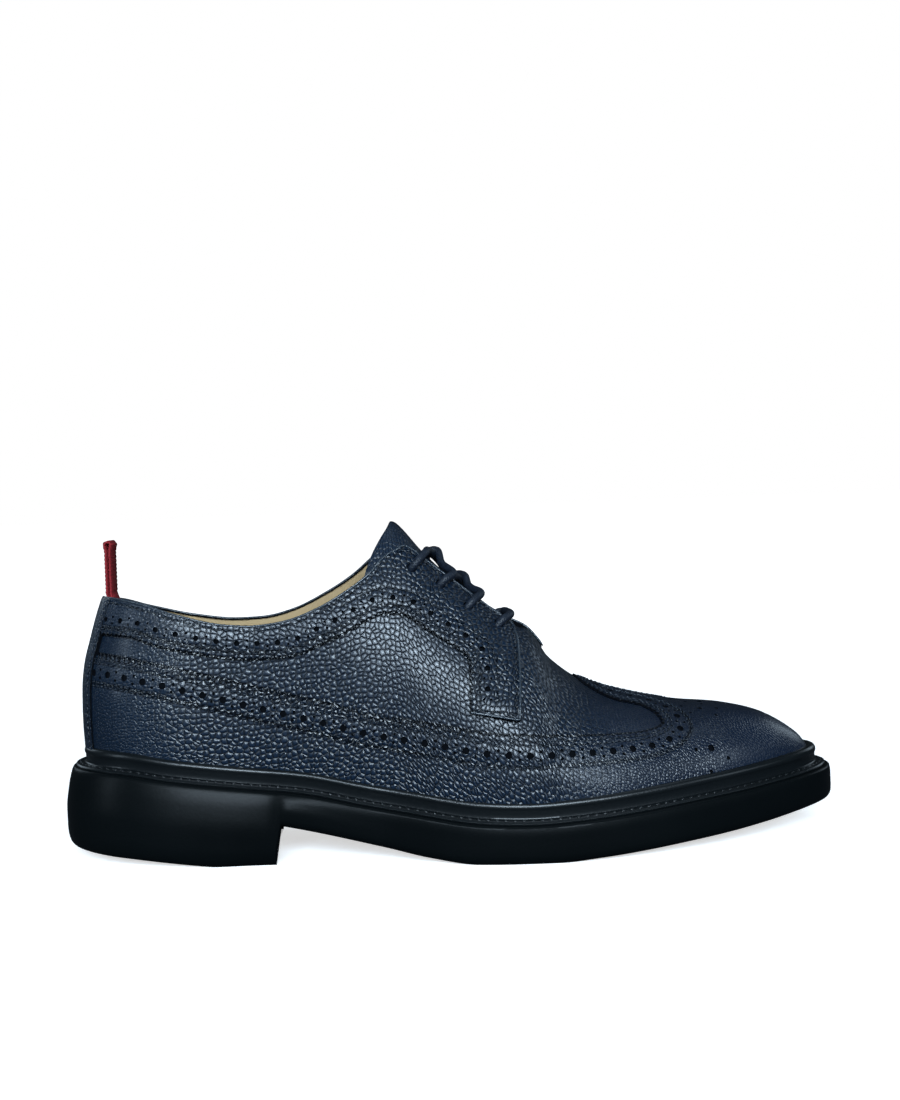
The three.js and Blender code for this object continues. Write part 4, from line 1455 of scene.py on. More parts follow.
def cord_group() -> NodeTree:
    """Makes the slanting strands of a braid or rib, along the object's coordinates."""
    shader, ends = new_group("braided thread", {"Scale": 900.0, "Slant": 0.7}, ["Height"])
    parts = shader.node("SeparateXYZ", Vector=place_in_object(shader))
    slanted = shader.sum("MULTIPLY", parts.outputs["Y"], ends["in"]["Slant"])
    waves = []
    for value in (
        shader.sum("ADD", parts.outputs["X"], slanted),
        shader.sum("SUBTRACT", parts.outputs["Z"], slanted),
    ):
        turn = shader.sum("MULTIPLY", value, ends["in"]["Scale"])
        waves.append(shader.sum("ABSOLUTE", shader.sum("SINE", turn)))
    shader.put(ends["out"], "Height", shader.sum("MAXIMUM", *waves))
    return shader.tree


class Groups:
    """The node groups that more than one finish uses, made once."""

    def __init__(self) -> None:
        """Makes every group."""
        self.pebble = pebble_group()
        self.ends = smooth_end_group()
        self.cloud = cloud_group()
        self.cord = cord_group()


@dataclass(frozen=True)
class Finish:
    """What every finish has: a name, a colour and a gloss."""

    name: str
    color: Triple
    roughness: float
    specular: float = 0.5
    coat: float = 0.0
    coat_roughness: float = 0.2
    cloud_scale: float = 26.0
    cloud_strength: float = 0.5

    def start(self) -> tuple[Shader, Node, Material]:
        """Makes the material with its surface shader."""
        material = bpy.data.materials.new(self.name)
        material.use_nodes = True
        material.diffuse_color = (*self.color, 1)
        shader = Shader(material.node_tree)
        surface = material.node_tree.nodes["Principled BSDF"]
        surface.inputs["Base Color"].default_value = (*self.color, 1)
        surface.inputs["Roughness"].default_value = self.roughness
        surface.inputs["Specular IOR Level"].default_value = self.specular
        surface.inputs["Coat Weight"].default_value = self.coat
        surface.inputs["Coat Roughness"].default_value = self.coat_roughness
        return shader, surface, material

    def bump(self, shader: Shader, surface: Node, height: object, depth: float) -> None:
        """Feeds a height in metres times depth to the surface's normal."""
        node = shader.node("Bump", Strength=1.0, Distance=depth)
        shader.put(node, "Height", height)
        shader.put(surface, "Normal", node.outputs["Normal"])

    def group(self, shader: Shader, tree: NodeTree, **values: float) -> Node:
        """Places a node group with its own values."""
        node = shader.node("Group", node_tree=tree)
        for name, value in values.items():
            shader.put(node, name.replace("_", " "), value)
        return node

    def clouds(self, shader: Shader, groups: Groups) -> Socket:
        """Returns the finish's uneven tone, about 1."""
        values = {"Scale": self.cloud_scale, "Strength": self.cloud_strength}
        return self.group(shader, groups.cloud, **values).outputs["Tone"]

    def shade(self, shader: Shader, factor: object, color: object = None) -> Socket:
        """Returns the finish's colour, or another one, times a factor."""
        return shader.vector("SCALE", self.color if color is None else color, Scale=factor)


@dataclass(frozen=True)
class GrainedLeather(Finish):
    """Pebbled upper leather that turns finer and flatter at the toe and heel.

    A range is four numbers: two values of what drives it, and what it gives at each of them.
    """

    cells: float = 490.0
    fine_cells: float = 800.0
    fine_crease: float = 0.4
    depth: float = 0.00023
    fine_depth: float = 0.62
    tip_depth: float = 0.31
    fine_all_over: float = 0.0
    heel_calm: float = 0.85
    toe_color: Triple = (0.0022, 0.0064, 0.016)
    # Painted shade in seams, by cut edges and beside overlays: over this range the colour and coat
    # fall to a share of themselves.
    painted_seam_shade: tuple[float, ...] = (0.15, 1.0, 1.0, 0.12)
    seam_close: tuple[float, ...] = (0.15, 1.0, 0.0, 0.5)
    # Painted shade in the pebbles' valleys and a painted highlight on their tops, as tone over the
    # valley value.
    painted_grain_light: tuple[float, ...] = (0.0, 0.8, 1.15, 0.3)
    valley_gloss: tuple[float, ...] = (0.0, 0.7, 1.0, 0.0)
    valley_rough: float = 0.1

    def build(self, groups: Groups) -> Material:
        """Makes the material."""
        shader, surface, material = self.start()
        spot = place_on_chart(shader)
        ends = self.group(shader, groups.ends)
        toe, heel, tip = (ends.outputs[name] for name in ("Toe", "Heel", "Tip"))
        coarse = self.group(shader, groups.pebble, Place=spot, Cells=self.cells)
        fine = self.group(
            shader, groups.pebble, Place=spot, Cells=self.fine_cells, Crease=self.fine_crease
        )
        calm = shader.sum("MAXIMUM", toe, shader.sum("MULTIPLY", heel, self.heel_calm))
        calm = shader.sum("MAXIMUM", calm, self.fine_all_over)
        keep = shader.sum("SUBTRACT", 1.0, calm)
        left = shader.spread(tip, 0.0, 1.0, self.fine_depth, self.tip_depth)
        share = shader.sum("MULTIPLY", calm, left)
        mixed = []
        for name in ("Height", "Valley"):
            strong = shader.sum("MULTIPLY", coarse.outputs[name], keep)
            faint = shader.sum("MULTIPLY", fine.outputs[name], share)
            mixed.append(shader.sum("ADD", strong, faint))
        height, valley = mixed
        self.bump(shader, surface, height, self.depth)
        # Painted shade: the leather is darker and loses coat in seams, by cut edges and beside
        # overlays.
        seam = shader.node("Attribute", attribute_name="painted_shade").outputs["Fac"]
        clear = shader.spread(seam, *self.painted_seam_shade)
        # Tone with painted shade in the grain's valleys and painted highlight on its domes, times
        # the painted seam shade.
        dark = shader.sum("MULTIPLY", shader.spread(valley, *self.painted_grain_light), clear)
        tone = shader.sum("MULTIPLY", dark, self.clouds(shader, groups))
        base = shader.blend(toe, (*self.color, 1), (*self.toe_color, 1))
        shader.put(surface, "Base Color", self.shade(shader, tone, base))
        close = shader.sum("MULTIPLY", shader.spread(seam, *self.seam_close), self.roughness)
        rough = shader.sum("MULTIPLY", valley, self.valley_rough)
        rough = shader.sum("ADD", rough, self.roughness)
        shader.put(surface, "Roughness", shader.sum("SUBTRACT", rough, close))
        gloss = shader.sum("MULTIPLY", shader.spread(valley, *self.valley_gloss), self.coat)
        shader.put(surface, "Coat Weight", shader.sum("MULTIPLY", gloss, clear))
        return material


@dataclass(frozen=True)
class PlainLeather(Finish):
    """Smooth leather: lining, cut edges and the insides of punched holes."""

    cells: float = 1500.0
    specks: float = 0.5
    depth: float = 0.00006
    cloud_scale: float = 40.0

    def build(self, groups: Groups) -> Material:
        """Makes the material."""
        shader, surface, material = self.start()
        values = {"Place": place_in_object(shader), "Cells": self.cells, "Fine": self.specks}
        grain = self.group(shader, groups.pebble, **values)
        self.bump(shader, surface, grain.outputs["Height"], self.depth)
        shader.put(surface, "Base Color", self.shade(shader, self.clouds(shader, groups)))
        return material


@dataclass(frozen=True)
class MouldedRubber(Finish):
    """Satin rubber with a faint moulded skin and an uneven gloss."""

    depth: float = 0.00003
    skin_scale: float = 900.0
    cloud_scale: float = 18.0
    cloud_strength: float = 0.6

    def build(self, groups: Groups) -> Material:
        """Makes the material."""
        shader, surface, material = self.start()
        place = place_in_object(shader)
        skin = shader.node("TexNoise", Vector=place, Scale=self.skin_scale, Detail=3.0)
        self.bump(shader, surface, skin.outputs["Fac"], self.depth)
        tone = self.clouds(shader, groups)
        shader.put(surface, "Base Color", self.shade(shader, tone))
        shader.put(surface, "Roughness", shader.sum("MULTIPLY", tone, self.roughness))
        return material


@dataclass(frozen=True)
class Thread(Finish):
    """Braided lace, sewing thread or ribbed tape."""

    scale: float = 2600.0
    slant: float = 0.7
    depth: float = 0.00015
    # Painted shade between the strands and a painted highlight on their crowns, as tone over the
    # braid's height.
    painted_strand_light: tuple[float, ...] = (0.2, 1.0, 0.6, 1.15)
    cloud_scale: float = 60.0
    cloud_strength: float = 0.4

    def build(self, groups: Groups) -> Material:
        """Makes the material."""
        shader, surface, material = self.start()
        braid = self.group(shader, groups.cord, Scale=self.scale, Slant=self.slant)
        self.bump(shader, surface, braid.outputs["Height"], self.depth)
        # Painted shade between strands and painted highlight on their crowns.
        shade = shader.spread(braid.outputs["Height"], *self.painted_strand_light)
        tone = shader.sum("MULTIPLY", shade, self.clouds(shader, groups))
        shader.put(surface, "Base Color", self.shade(shader, tone))
        return material


class Finishes:
    """Every finish of the shoe, as materials."""

    def __init__(self, groups: Groups) -> None:
        """Makes the materials."""
        navy = (0.002, 0.0078, 0.0185)
        pebbled = GrainedLeather("pebbled_navy", navy, 0.31, 0.36, coat=0.38, coat_roughness=0.27)
        fine = GrainedLeather(
            "fine_navy", navy, 0.36, 0.36, coat=0.4, coat_roughness=0.28, fine_all_over=1.0
        )
        # Near-black cut finish: painted shade inside the punched holes; on cut edges partly their
        # own dark and partly painted shade.
        punched = PlainLeather("cut_edge_and_painted_hole_shade", (0.0015, 0.002, 0.003), 0.9, 0.05)
        # The burnished edge is lighter than the leather: a painted highlight of the lit cut edge,
        # on real edge tubes.
        edge = PlainLeather("burnished_edge_painted_highlight", (0.012, 0.02, 0.03), 0.35, 0.5, coat=0.6)
        sole = MouldedRubber("sole_rubber", (0.0018, 0.0026, 0.003), 0.33, 0.06)
        welt = MouldedRubber("welt_rubber", (0.003, 0.0042, 0.005), 0.3, 0.3)
        tape = Thread("ribbed_tape", (0.2, 0.012, 0.016), 0.75, 0.2, scale=5200.0, slant=0.0)
        self.leather = pebbled.build(groups)
        self.fine_leather = fine.build(groups)
        self.cut = punched.build(groups)
        self.edge = edge.build(groups)
        self.lining = PlainLeather("tan_lining", (0.36, 0.25, 0.13), 0.62, 0.3).build(groups)
        self.rubber = sole.build(groups)
        self.welt = welt.build(groups)
        self.lace = Thread("waxed_lace", (0.005, 0.0085, 0.016), 0.5, 0.35).build(groups)
        self.thread = Thread("navy_thread", (0.007, 0.012, 0.02), 0.45, 0.4).build(groups)
        self.tape = tape.build(groups)


@dataclass
class Upper:
    """The leather upper: body, long wing, quarter band, rolled edges, backstay and lining."""

    last: Last
    finishes: Finishes
    stitches: StitchRows
    tooth_pitch: float = 2.3
    tooth_depth: float = 0.95
    wing_hole: float = 1.35
    band_hole: float = 1.1
    small_share: float = 0.44
    hole_pitch: float = 8.0
    edge_spacing: float = 1.5
    ridge_gap: float = 2.0
    tab_lift: float = 0.9
    tab_reach: float = 9.0
    edge_sink: float = 0.3
    edge_radius: float = 0.45
    edge_sides: int = 8
    line_step: float = 1.0
    wing_seams: tuple[float, ...] = (1.8, 3.3, 10.2, 11.4)
    wing_row: float = 6.9
    wing_root: float = 0.3
    band_seams: tuple[float, ...] = (1.9, 3.2)
    band_row: float = 5.9
    band_root: float = 1.2
    inner_seam: float = 9.6
    inner_seam_start: float = 0.62
    facing_seam: float = 1.8
    front_seam: float = 1.5
    backstay_seam: float = 1.8
    backstay_cover: float = 0.25
    backstay_trim: float = 0.2
    stitch_sink: float = 0.02
    wing_room: float = 0.5
    band_room: float = 0.45
    shade_offset: float = 0.5
    body_inset: float = 0.6
    lining_inset: float = 0.5

    def back_share(self) -> float:
        """Returns the share of the length where the lines from the back seam begin."""
        return self.last.share_at(self.last.back_end) - 0.004

    def collar(self, side: Side) -> Array:
        """Returns the collar line from the back seam to the throat."""
        end, steps, crowding = 0.4548, 90, 1.6
        column = COLLAR.curve("at", "outer" if side is Side.OUTER else "inner")
        start = self.back_share()
        at = start + (end - start) * np.linspace(0, 1, steps) ** crowding
        line = self.last.beside(at, column(at), side)
        line[0, 0] = 0.0
        return line

    def throat_off(self, at: Array, side: Side) -> Array:
        """Returns how far the throat's edge lies from the ridge at shares of the length."""
        column = THROAT.curve("at", "outer" if side is Side.OUTER else "inner")
        return column(at) * self.last.sizes.throat_width

    def throat(self, side: Side) -> Array:
        """Returns the facing's inner edge from behind the collar to past the ridge line."""
        start, end, steps, onward = 0.4, 0.608, 70, 12
        at = np.linspace(start, end, steps)
        line = self.last.above(at, self.throat_off(at, side))
        beyond = line[-1] + unit(line[-1] - line[-4]) * onward
        return np.concatenate([line, beyond[None]])

    def facing_front(self, side: Side) -> Array:
        """Returns the facing's front edge from its lower corner up to the throat."""
        end, steps = 1.0, 40
        up = np.linspace(FACING["up"][0], end, steps)
        at = FACING.curve("up", "at")(up) - side.value * FACING.curve("up", "wide")(up)
        return self.last.beside(at, up, side)

    def table_line(self, table: Table, count: int, side: Side) -> Array:
        """Returns a smooth line from the back seam through a table's places.

        Args:
            table: places seen from the side.
            count: how many places the line has.
            side: side of the shoe.

        Returns:
            The line's places round and up the form.
        """
        s = self.last.sizes
        at = np.concatenate([[self.back_share()], table["at"]])
        up = np.concatenate([table["up"][:1], table["up"]])
        run = np.hypot(np.diff(at) * s.sole_length, np.diff(up) * s.collar_rise)
        place = np.concatenate([[0], np.cumsum(run)])
        dense = np.linspace(0, place[-1], count)
        return self.last.beside(Column(place, at)(dense), Column(place, up)(dense), side)

    def band_edge(self, side: Side) -> Array:
        """Returns the band's lower edge from the back seam to the facing's lower back corner."""
        line = self.table_line(BAND, 160, side)
        line[0, 0] = 0.0
        return line

    def wing_edge(self, side: Side) -> Array:
        """Returns the wing's upper edge from the back seam by the valley to the peak."""
        peak_at, room = 0.667, 0.8
        line = self.table_line(WING, 200, side)
        line = line[line[:, 1] < np.interp(line[:, 0], self.last.rounds, self.last.girths) - room]
        line[0, 0] = 0.0
        return np.concatenate([line, self.last.ridge(np.array(peak_at), side)[None]])

    def toothed(self, line: Array, outward: float) -> Array:
        """Returns a pinked edge along a line.

        Args:
            line: places along the plain edge.
            outward: 1 if the teeth point to the line's left, or -1.

        Returns:
            The places of the teeth's tips and roots.
        """
        quarters, faded = 4, 3
        spots = self.last.spaced(line, self.tooth_pitch / quarters)
        steps = np.arange(len(spots))
        wave = np.abs((steps / 2) % 2 - 1) * 2 - 1
        fade = np.minimum(1, np.minimum(steps, steps[::-1]) / faded)
        return self.last.shifted(spots, outward * self.tooth_depth / 2 * wave * fade)

    def perforations(self, line: Array, radius: float, start: int) -> list[Punch]:
        """Returns the holes along a line: large ones, with two small ones between each pair.

        Args:
            line: places along the row's middle.
            radius: the large holes' radius.
            start: how far the row begins along the line, in eighths of its pitch.

        Returns:
            The row's holes.
        """
        steps, spread = 8, 1.15
        spots = self.last.spaced(line, self.hole_pitch / steps)
        punches = [Punch(spot, radius) for spot in spots[start:-3:steps]]
        for away in (-spread * radius, spread * radius):
            row = self.last.shifted(spots, away)[start + steps // 2 : -3 : steps]
            punches += [Punch(spot, radius * self.small_share) for spot in row]
        return punches

    def tidy(self, punches: list[Punch], keep_out: list[Array], room: float) -> list[Punch]:
        """Drops holes that come closer than a room to any of some lines."""
        marks = np.concatenate(keep_out)
        spots = np.array([p.spot for p in punches])
        radii = np.array([p.radius for p in punches])
        clear = nearest(spots, marks) > radii + room
        return [p for p, ok in zip(punches, clear) if ok]

    def build_wing(self) -> Piece:
        """Makes the long wing with its pinked edge, perforations, medallion and stitches."""
        last, s = self.last, self.last.sizes
        rims, punches, seams = {}, [], []
        for side in Side:
            inward = -side.value
            edge = self.wing_edge(side)
            rims[side] = self.toothed(edge, -inward)
            dense = last.spaced(edge, self.line_step)
            for distance in self.wing_seams:
                seams.append(self.clipped(last.shifted(dense, inward * distance), side))
            middle = self.clipped(last.shifted(dense, inward * self.wing_row), side)
            punches += self.perforations(middle, self.wing_hole, 6)
        punches += self.medallion()
        punches = self.tidy(punches, list(rims.values()), self.wing_room)
        for seam in seams:
            self.stitches.add(seam, s.wing_step - self.stitch_sink)
        panel = Panel(
            "long_wing",
            last,
            self.closed_outline(rims[Side.OUTER], rims[Side.INNER], self.edge_spacing * 1.5),
            height=s.wing_step,
            thickness=s.wing_step + self.wing_root,
            spacing=1.9,
            punches=punches,
            seams=seams,
            over_ridge=True,
        )
        return panel.build(self.finishes.leather, self.finishes.cut)

    def closed_outline(self, outer: Array, inner: Array, foot_spacing: float) -> Outline:
        """Closes an outline by the ridge and the foot of both sides.

        Args:
            outer: the upper edge on the outer side, which ends on the ridge.
            inner: the same on the inner side.
            foot_spacing: distance between places along the foot.

        Returns:
            The outline's stretches, and how each one ends.
        """
        toe = self.last.rounds[-1]
        foot = self.last.spaced(np.array([[toe, 0.0], [-toe, 0.0]]), foot_spacing)
        return [
            (outer, Cut.RAW),
            (self.ridge_line(outer[-1], Side.OUTER), Cut.RIDGE),
            (foot, Cut.TUCKED),
            (self.ridge_line(inner[-1], Side.INNER)[::-1], Cut.RIDGE),
            (inner[::-1], Cut.RAW),
        ]

    def ridge_line(self, start: Array, side: Side) -> Array:
        """Returns the ridge from a place to the tip of the toe."""
        count = 200
        angles = np.linspace(abs(self.last.where(start)[0]), math.pi, count) * side.value
        line = self.last.spot(angles, np.ones(count))
        line[-1] = (self.last.rounds[-1] * side.value, 0.0)
        return self.last.spaced(line, self.edge_spacing)

    def clipped(self, line: Array, side: Side) -> Array:
        """Drops a line's ends that lie past the back seam, the foot or the ridge."""
        room = 0.3
        girth = np.interp(line[:, 0], self.last.rounds, self.last.girths)
        inside = (line[:, 1] < girth - room) & (line[:, 1] > room)
        return line[(line[:, 0] * side.value > 0) & inside]

    def medallion(self) -> list[Punch]:
        """Returns the toe's ornament: rings and sprays of holes about the ridge."""
        centre = 0.832
        punches = []
        for ahead, off, radius in MEDALLION:
            at = np.array(centre + ahead / self.last.sizes.sole_length)
            for sign in (-1, 1) if off else (-1,):
                away = sign * max(off, self.ridge_gap)
                punches.append(Punch(self.last.above(at, np.array(away)), radius))
        return punches

    def throat_parts(self, side: Side) -> tuple[Array, Array]:
        """Returns the facing's whole upper edge from the back seam, and its front edge down."""
        collar, throat = self.collar(side), self.throat(side)
        front = self.facing_front(side)[::-1]
        i, j, corner = crossing(collar, throat)
        edge = np.concatenate([collar[: i + 1], corner[None], throat[j + 1 :]])
        k, m, tip = crossing(edge, front)
        edge = np.concatenate([edge[: k + 1], tip[None]])
        front = np.concatenate([tip[None], front[m + 1 :]])
        return smoothed(self.last.spaced(edge, self.line_step), 6), front

    def tab_edge(self, side: Side) -> Array:
        """Returns the two ends of the short lower edge of a facing."""
        return np.stack([self.throat_parts(side)[1][-1], self.band_edge(side)[-1]])


    def build_band(self) -> Piece:
        """Makes the quarter band with its eyestays round the collar."""
        last, s = self.last, self.last.sizes
        step, spacing = self.line_step, self.edge_spacing
        rims, seams, punches = {}, [], []
        for side in Side:
            inward = side.value
            top, front = self.throat_parts(side)
            low, tab = self.band_edge(side), self.tab_edge(side)
            rims[side] = [last.spaced(line, spacing) for line in (top, front, tab)]
            rims[side].append(self.toothed(low, -inward)[::-1])
            dense = last.spaced(low, step)
            inner_row = last.shifted(dense, inward * self.inner_seam)
            facing = last.shifted(last.spaced(top, step), -inward * self.facing_seam)
            front_row, tab_row = (
                last.shifted(last.spaced(line, step), -inward * self.front_seam)
                for line in (front, tab)
            )
            rows = [
                last.shifted(dense, inward * self.band_seams[0]),
                last.shifted(dense, inward * self.band_seams[1])[:-3],
                facing,
                front_row[2:-1],
                tab_row[2:-2],
                inner_row[int(len(inner_row) * self.inner_seam_start) : -4],
            ]
            seams += [self.clipped(row, side) for row in rows]
            middle = self.clipped(last.shifted(dense, inward * self.band_row), side)
            punches += self.perforations(middle, self.band_hole, 5)
            for at, up in EYELETS:
                spot = last.beside(np.array(at), np.array(up), side)
                punches.append(Punch(spot, s.eyelet_radius))
        inner = [line[::-1] for line in rims[Side.INNER]][::-1]
        punches = self.tidy(punches, [*rims[Side.OUTER], *inner], self.band_room)
        lifts = [self.tab_raise()]
        for seam in seams:
            self.stitches.add(seam, s.quarter_step - self.stitch_sink, lifts)
        panel = Panel(
            "quarter_band",
            last,
            [(line, Cut.RAW) for line in [*rims[Side.OUTER], *inner]],
            height=s.quarter_step,
            thickness=s.quarter_step + self.band_root,
            spacing=1.8,
            punches=punches,
            seams=seams,
            lifts=lifts,
        )
        return panel.build(self.finishes.leather, self.finishes.cut)

    def body_rim(self, side: Side) -> Array:
        """Returns the edge of the quarters and vamp, from the back seam round the throat."""
        start, end, steps, least_off = 0.4, 0.616, 120, 0.2
        collar = self.collar(side)
        at = np.linspace(start, end, steps)
        off = self.throat_off(at, side)
        throat = self.last.above(at, off)
        i, j, corner = crossing(collar, throat)
        kept, away = throat[j + 1 :], off[j + 1 :]
        if side is Side.OUTER:
            kept = kept[away < -least_off]
        return np.concatenate([collar[: i + 1], corner[None], kept])

    def outline_of_body(self, inset: float) -> Outline:
        """Returns the outline of the quarters and vamp, set in at the collar and throat."""
        last, rims = self.last, {}
        tip = last.above(THROAT_TIP["at"], THROAT_TIP["off"])
        ends = {Side.OUTER: tip[:0], Side.INNER: tip}
        for side, end in ends.items():
            rim = smoothed(last.spaced(self.body_rim(side), self.line_step), 3)
            girth = np.interp(rim[:, 0], last.rounds, last.girths)
            rim = last.shifted(rim, -side.value * inset)
            rim[:, 1] = np.minimum(rim[:, 1], girth - 0.01)
            rim[0, 0] = 0.0
            start = last.ridge(np.array(self.throat_crossing()), side)
            rims[side] = last.spaced(np.concatenate([rim, end, start[None]]), self.edge_spacing)
        return self.closed_outline(rims[Side.OUTER], rims[Side.INNER], self.edge_spacing * 1.4)

    def throat_crossing(self) -> float:
        """Returns where the throat's edge crosses the ridge, as a share of the length."""
        start, end, steps = 0.59, 0.616, 200
        at = np.linspace(start, end, steps)
        return float(np.interp(0, THROAT.curve("at", "outer")(at), at))

    def build_body(self) -> Piece:
        """Makes the quarters and vamp under the overlays."""
        last, shades = self.last, []
        # Lines just outside the band's, facings', tabs' and wing's edges, along which the body gets
        # painted shade for the shadow that these overlays cast.
        for side in Side:
            front, band = self.throat_parts(side)[1], self.band_edge(side)
            edges = ((band, -1), (front, 1), (self.tab_edge(side), 1), (self.wing_edge(side), 1))
            for edge, outward in edges:
                line = last.spaced(edge, self.line_step)
                line = last.shifted(line, side.value * outward * self.shade_offset)
                shades.append(self.clipped(line, side))
        panel = Panel(
            "quarters_and_vamp",
            last,
            self.outline_of_body(self.body_inset),
            height=0.0,
            thickness=last.sizes.wall * 0.6,
            spacing=2.2,
            edge_drop=0.3,
            over_ridge=True,
            shades=shades,
        )
        return panel.build(self.finishes.leather, self.finishes.cut)

    def build_edges(self) -> Piece:
        """Makes the burnished edge that runs round the collar, the facings and their tabs, its
        lighter colour a painted highlight.
        """
        last, paths = self.last, []
        rest, raised = last.sizes.quarter_step - self.edge_sink, self.tab_raise()
        for side in Side:
            top, front = self.throat_parts(side)
            line = np.concatenate([top[:-1], front[:-1], self.tab_edge(side)])
            line = last.spaced(line, self.line_step)
            paths.append(last.lift(line, rest + raised.at(line)))
        return make_tubes(
            "facing_edges",
            paths,
            self.edge_radius,
            self.edge_sides,
            last.metre,
            self.finishes.edge,
        )

    def tab_raise(self) -> Lift:
        """Returns how the facings' lower corners stand away from the vamp."""
        step = 0.8
        tabs = [self.last.spaced(self.tab_edge(side), step) for side in Side]
        return Lift(np.concatenate(tabs), self.tab_lift, self.tab_reach)

    def build_lining(self) -> Piece:
        """Makes the lining inside the whole upper."""
        wall = self.last.sizes.wall
        panel = Panel(
            "upper_lining",
            self.last,
            self.outline_of_body(self.lining_inset),
            height=-wall,
            thickness=-wall * 0.75,
            spacing=2.6,
            edge_drop=0.0,
            facing_in=True,
        )
        return panel.build(self.finishes.lining, self.finishes.lining)

    def build_backstay(self) -> Piece:
        """Makes the strip over the back seam, with a row of stitches inside each edge."""
        last, s = self.last, self.last.sizes
        half, trim = s.backstay_width / 2, self.backstay_trim
        tops, rims, seams = {}, {}, []
        for side in Side:
            collar, x = self.collar(side), side.value * half
            height = np.interp(half, np.abs(collar[:, 0]), collar[:, 1])
            rims[side] = np.array([[x, trim], [x, height - trim]])
            tops[side] = collar[np.abs(collar[:, 0]) < half]
            line = last.spaced(rims[side], self.line_step)[3:-2]
            line[:, 0] -= side.value * self.backstay_seam
            seams.append(line)
            self.stitches.add(line, s.backstay_step + self.backstay_trim)
        outer, inner = rims[Side.OUTER], rims[Side.INNER]
        top = np.concatenate([tops[Side.INNER][::-1], tops[Side.OUTER][1:]]) - (0, trim)
        top = np.concatenate([inner[1:], top, outer[1:]])
        foot = np.array([[half, trim], [-half, trim]])
        sides = ((top, Cut.RAW), (outer[::-1], Cut.RAW), (foot, Cut.TUCKED), (inner, Cut.RAW))
        panel = Panel(
            "backstay",
            last,
            [(last.spaced(line, self.edge_spacing), cut) for line, cut in sides],
            height=s.backstay_step + self.backstay_cover,
            thickness=1.9,
            spacing=1.9,
            seams=seams,
        )
        return panel.build(self.finishes.fine_leather, self.finishes.cut)

    def build(self) -> list[Placed]:
        """Makes every piece of the upper, with its slot and the nodes that it stands for."""
        return [
            (self.build_body(), "leather", ("upper",)),
            (self.build_wing(), "leather", ()),
            (self.build_band(), "leather", ()),
            (self.build_edges(), "leather", ()),
            (self.build_backstay(), "leather", ()),
            (self.build_lining(), "lining", ()),
        ]


@dataclass
class Tongue:
    """The tongue under the laces, curved over the instep."""

    last: Last
    finishes: Finishes
    rows: int = 70
    columns: int = 40
    foot: float = 0.64
    foot_width: float = 0.81
    crowding: float = 1.2
    search: tuple[float, float] = (0.388, 0.47)
    side_bevel: float = 12.0
    top_bevel: float = 14.0
    edge_thickness: float = 0.35

    def top_line(self, off: Array) -> Array:
        """Returns where the tongue's top edge lies at distances off the ridge."""
        last, s = self.last, self.last.sizes
        top_edge = TONGUE.curve("at", "up")
        low, high = (np.full(len(off), end) for end in self.search)
        for _ in range(22):
            middle = (low + high) / 2
            height = last.lift(last.above(middle, off), -s.wall - s.clearance)[:, 2]
            over = height > last.height_of(top_edge(middle))
            low, high = np.where(over, middle, low), np.where(over, high, middle)
        return high

    def build(self) -> Piece:
        """Makes the tongue with its two faces and rounded edge."""
        last, s, rows, columns = self.last, self.last.sizes, self.rows, self.columns
        across = np.sin(np.linspace(-1, 1, columns) * math.pi / 2)
        off = across * s.tongue_width / 2
        shares = np.linspace(0, 1, rows)[:, None]
        at = mix(self.top_line(off), self.foot, shares**self.crowding)
        spots = last.above(at, off * mix(1.0, self.foot_width, shares))
        rim = np.minimum(1, (1 - np.abs(across)) * self.side_bevel) * np.ones_like(shares)
        rim = np.minimum(rim, np.sqrt(np.clip(shares * self.top_bevel, 0, 1)))
        half = s.tongue_thickness / 2 * mix(self.edge_thickness, 1.0, rim)
        centre = -(s.wall + s.clearance + s.tongue_thickness / 2)
        skins = [last.lift(spots, centre + sign * half).reshape(-1, 3) for sign in (1, -1)]
        count = rows * columns
        front = grid_faces(rows, columns)
        faces = [tuple(reversed(face)) for face in front]
        faces += [tuple(c + count for c in face) for face in front]
        ring = list(range(columns))
        ring += [i * columns + columns - 1 for i in range(1, rows)]
        ring += [(rows - 1) * columns + j for j in range(columns - 2, -1, -1)]
        ring += [i * columns for i in range(rows - 2, 0, -1)]
        faces += [(a, b, b + count, a + count) for a, b in zip(ring, [*ring[1:], ring[0]])]
        points = np.concatenate(skins) * last.metre
        slots = [0] * len(front) + [1] * len(front) + [0] * len(ring)
        materials = [self.finishes.fine_leather, self.finishes.lining]
        return make_piece("tongue_leather", points, faces, materials, slots, chart=points[:, :2])


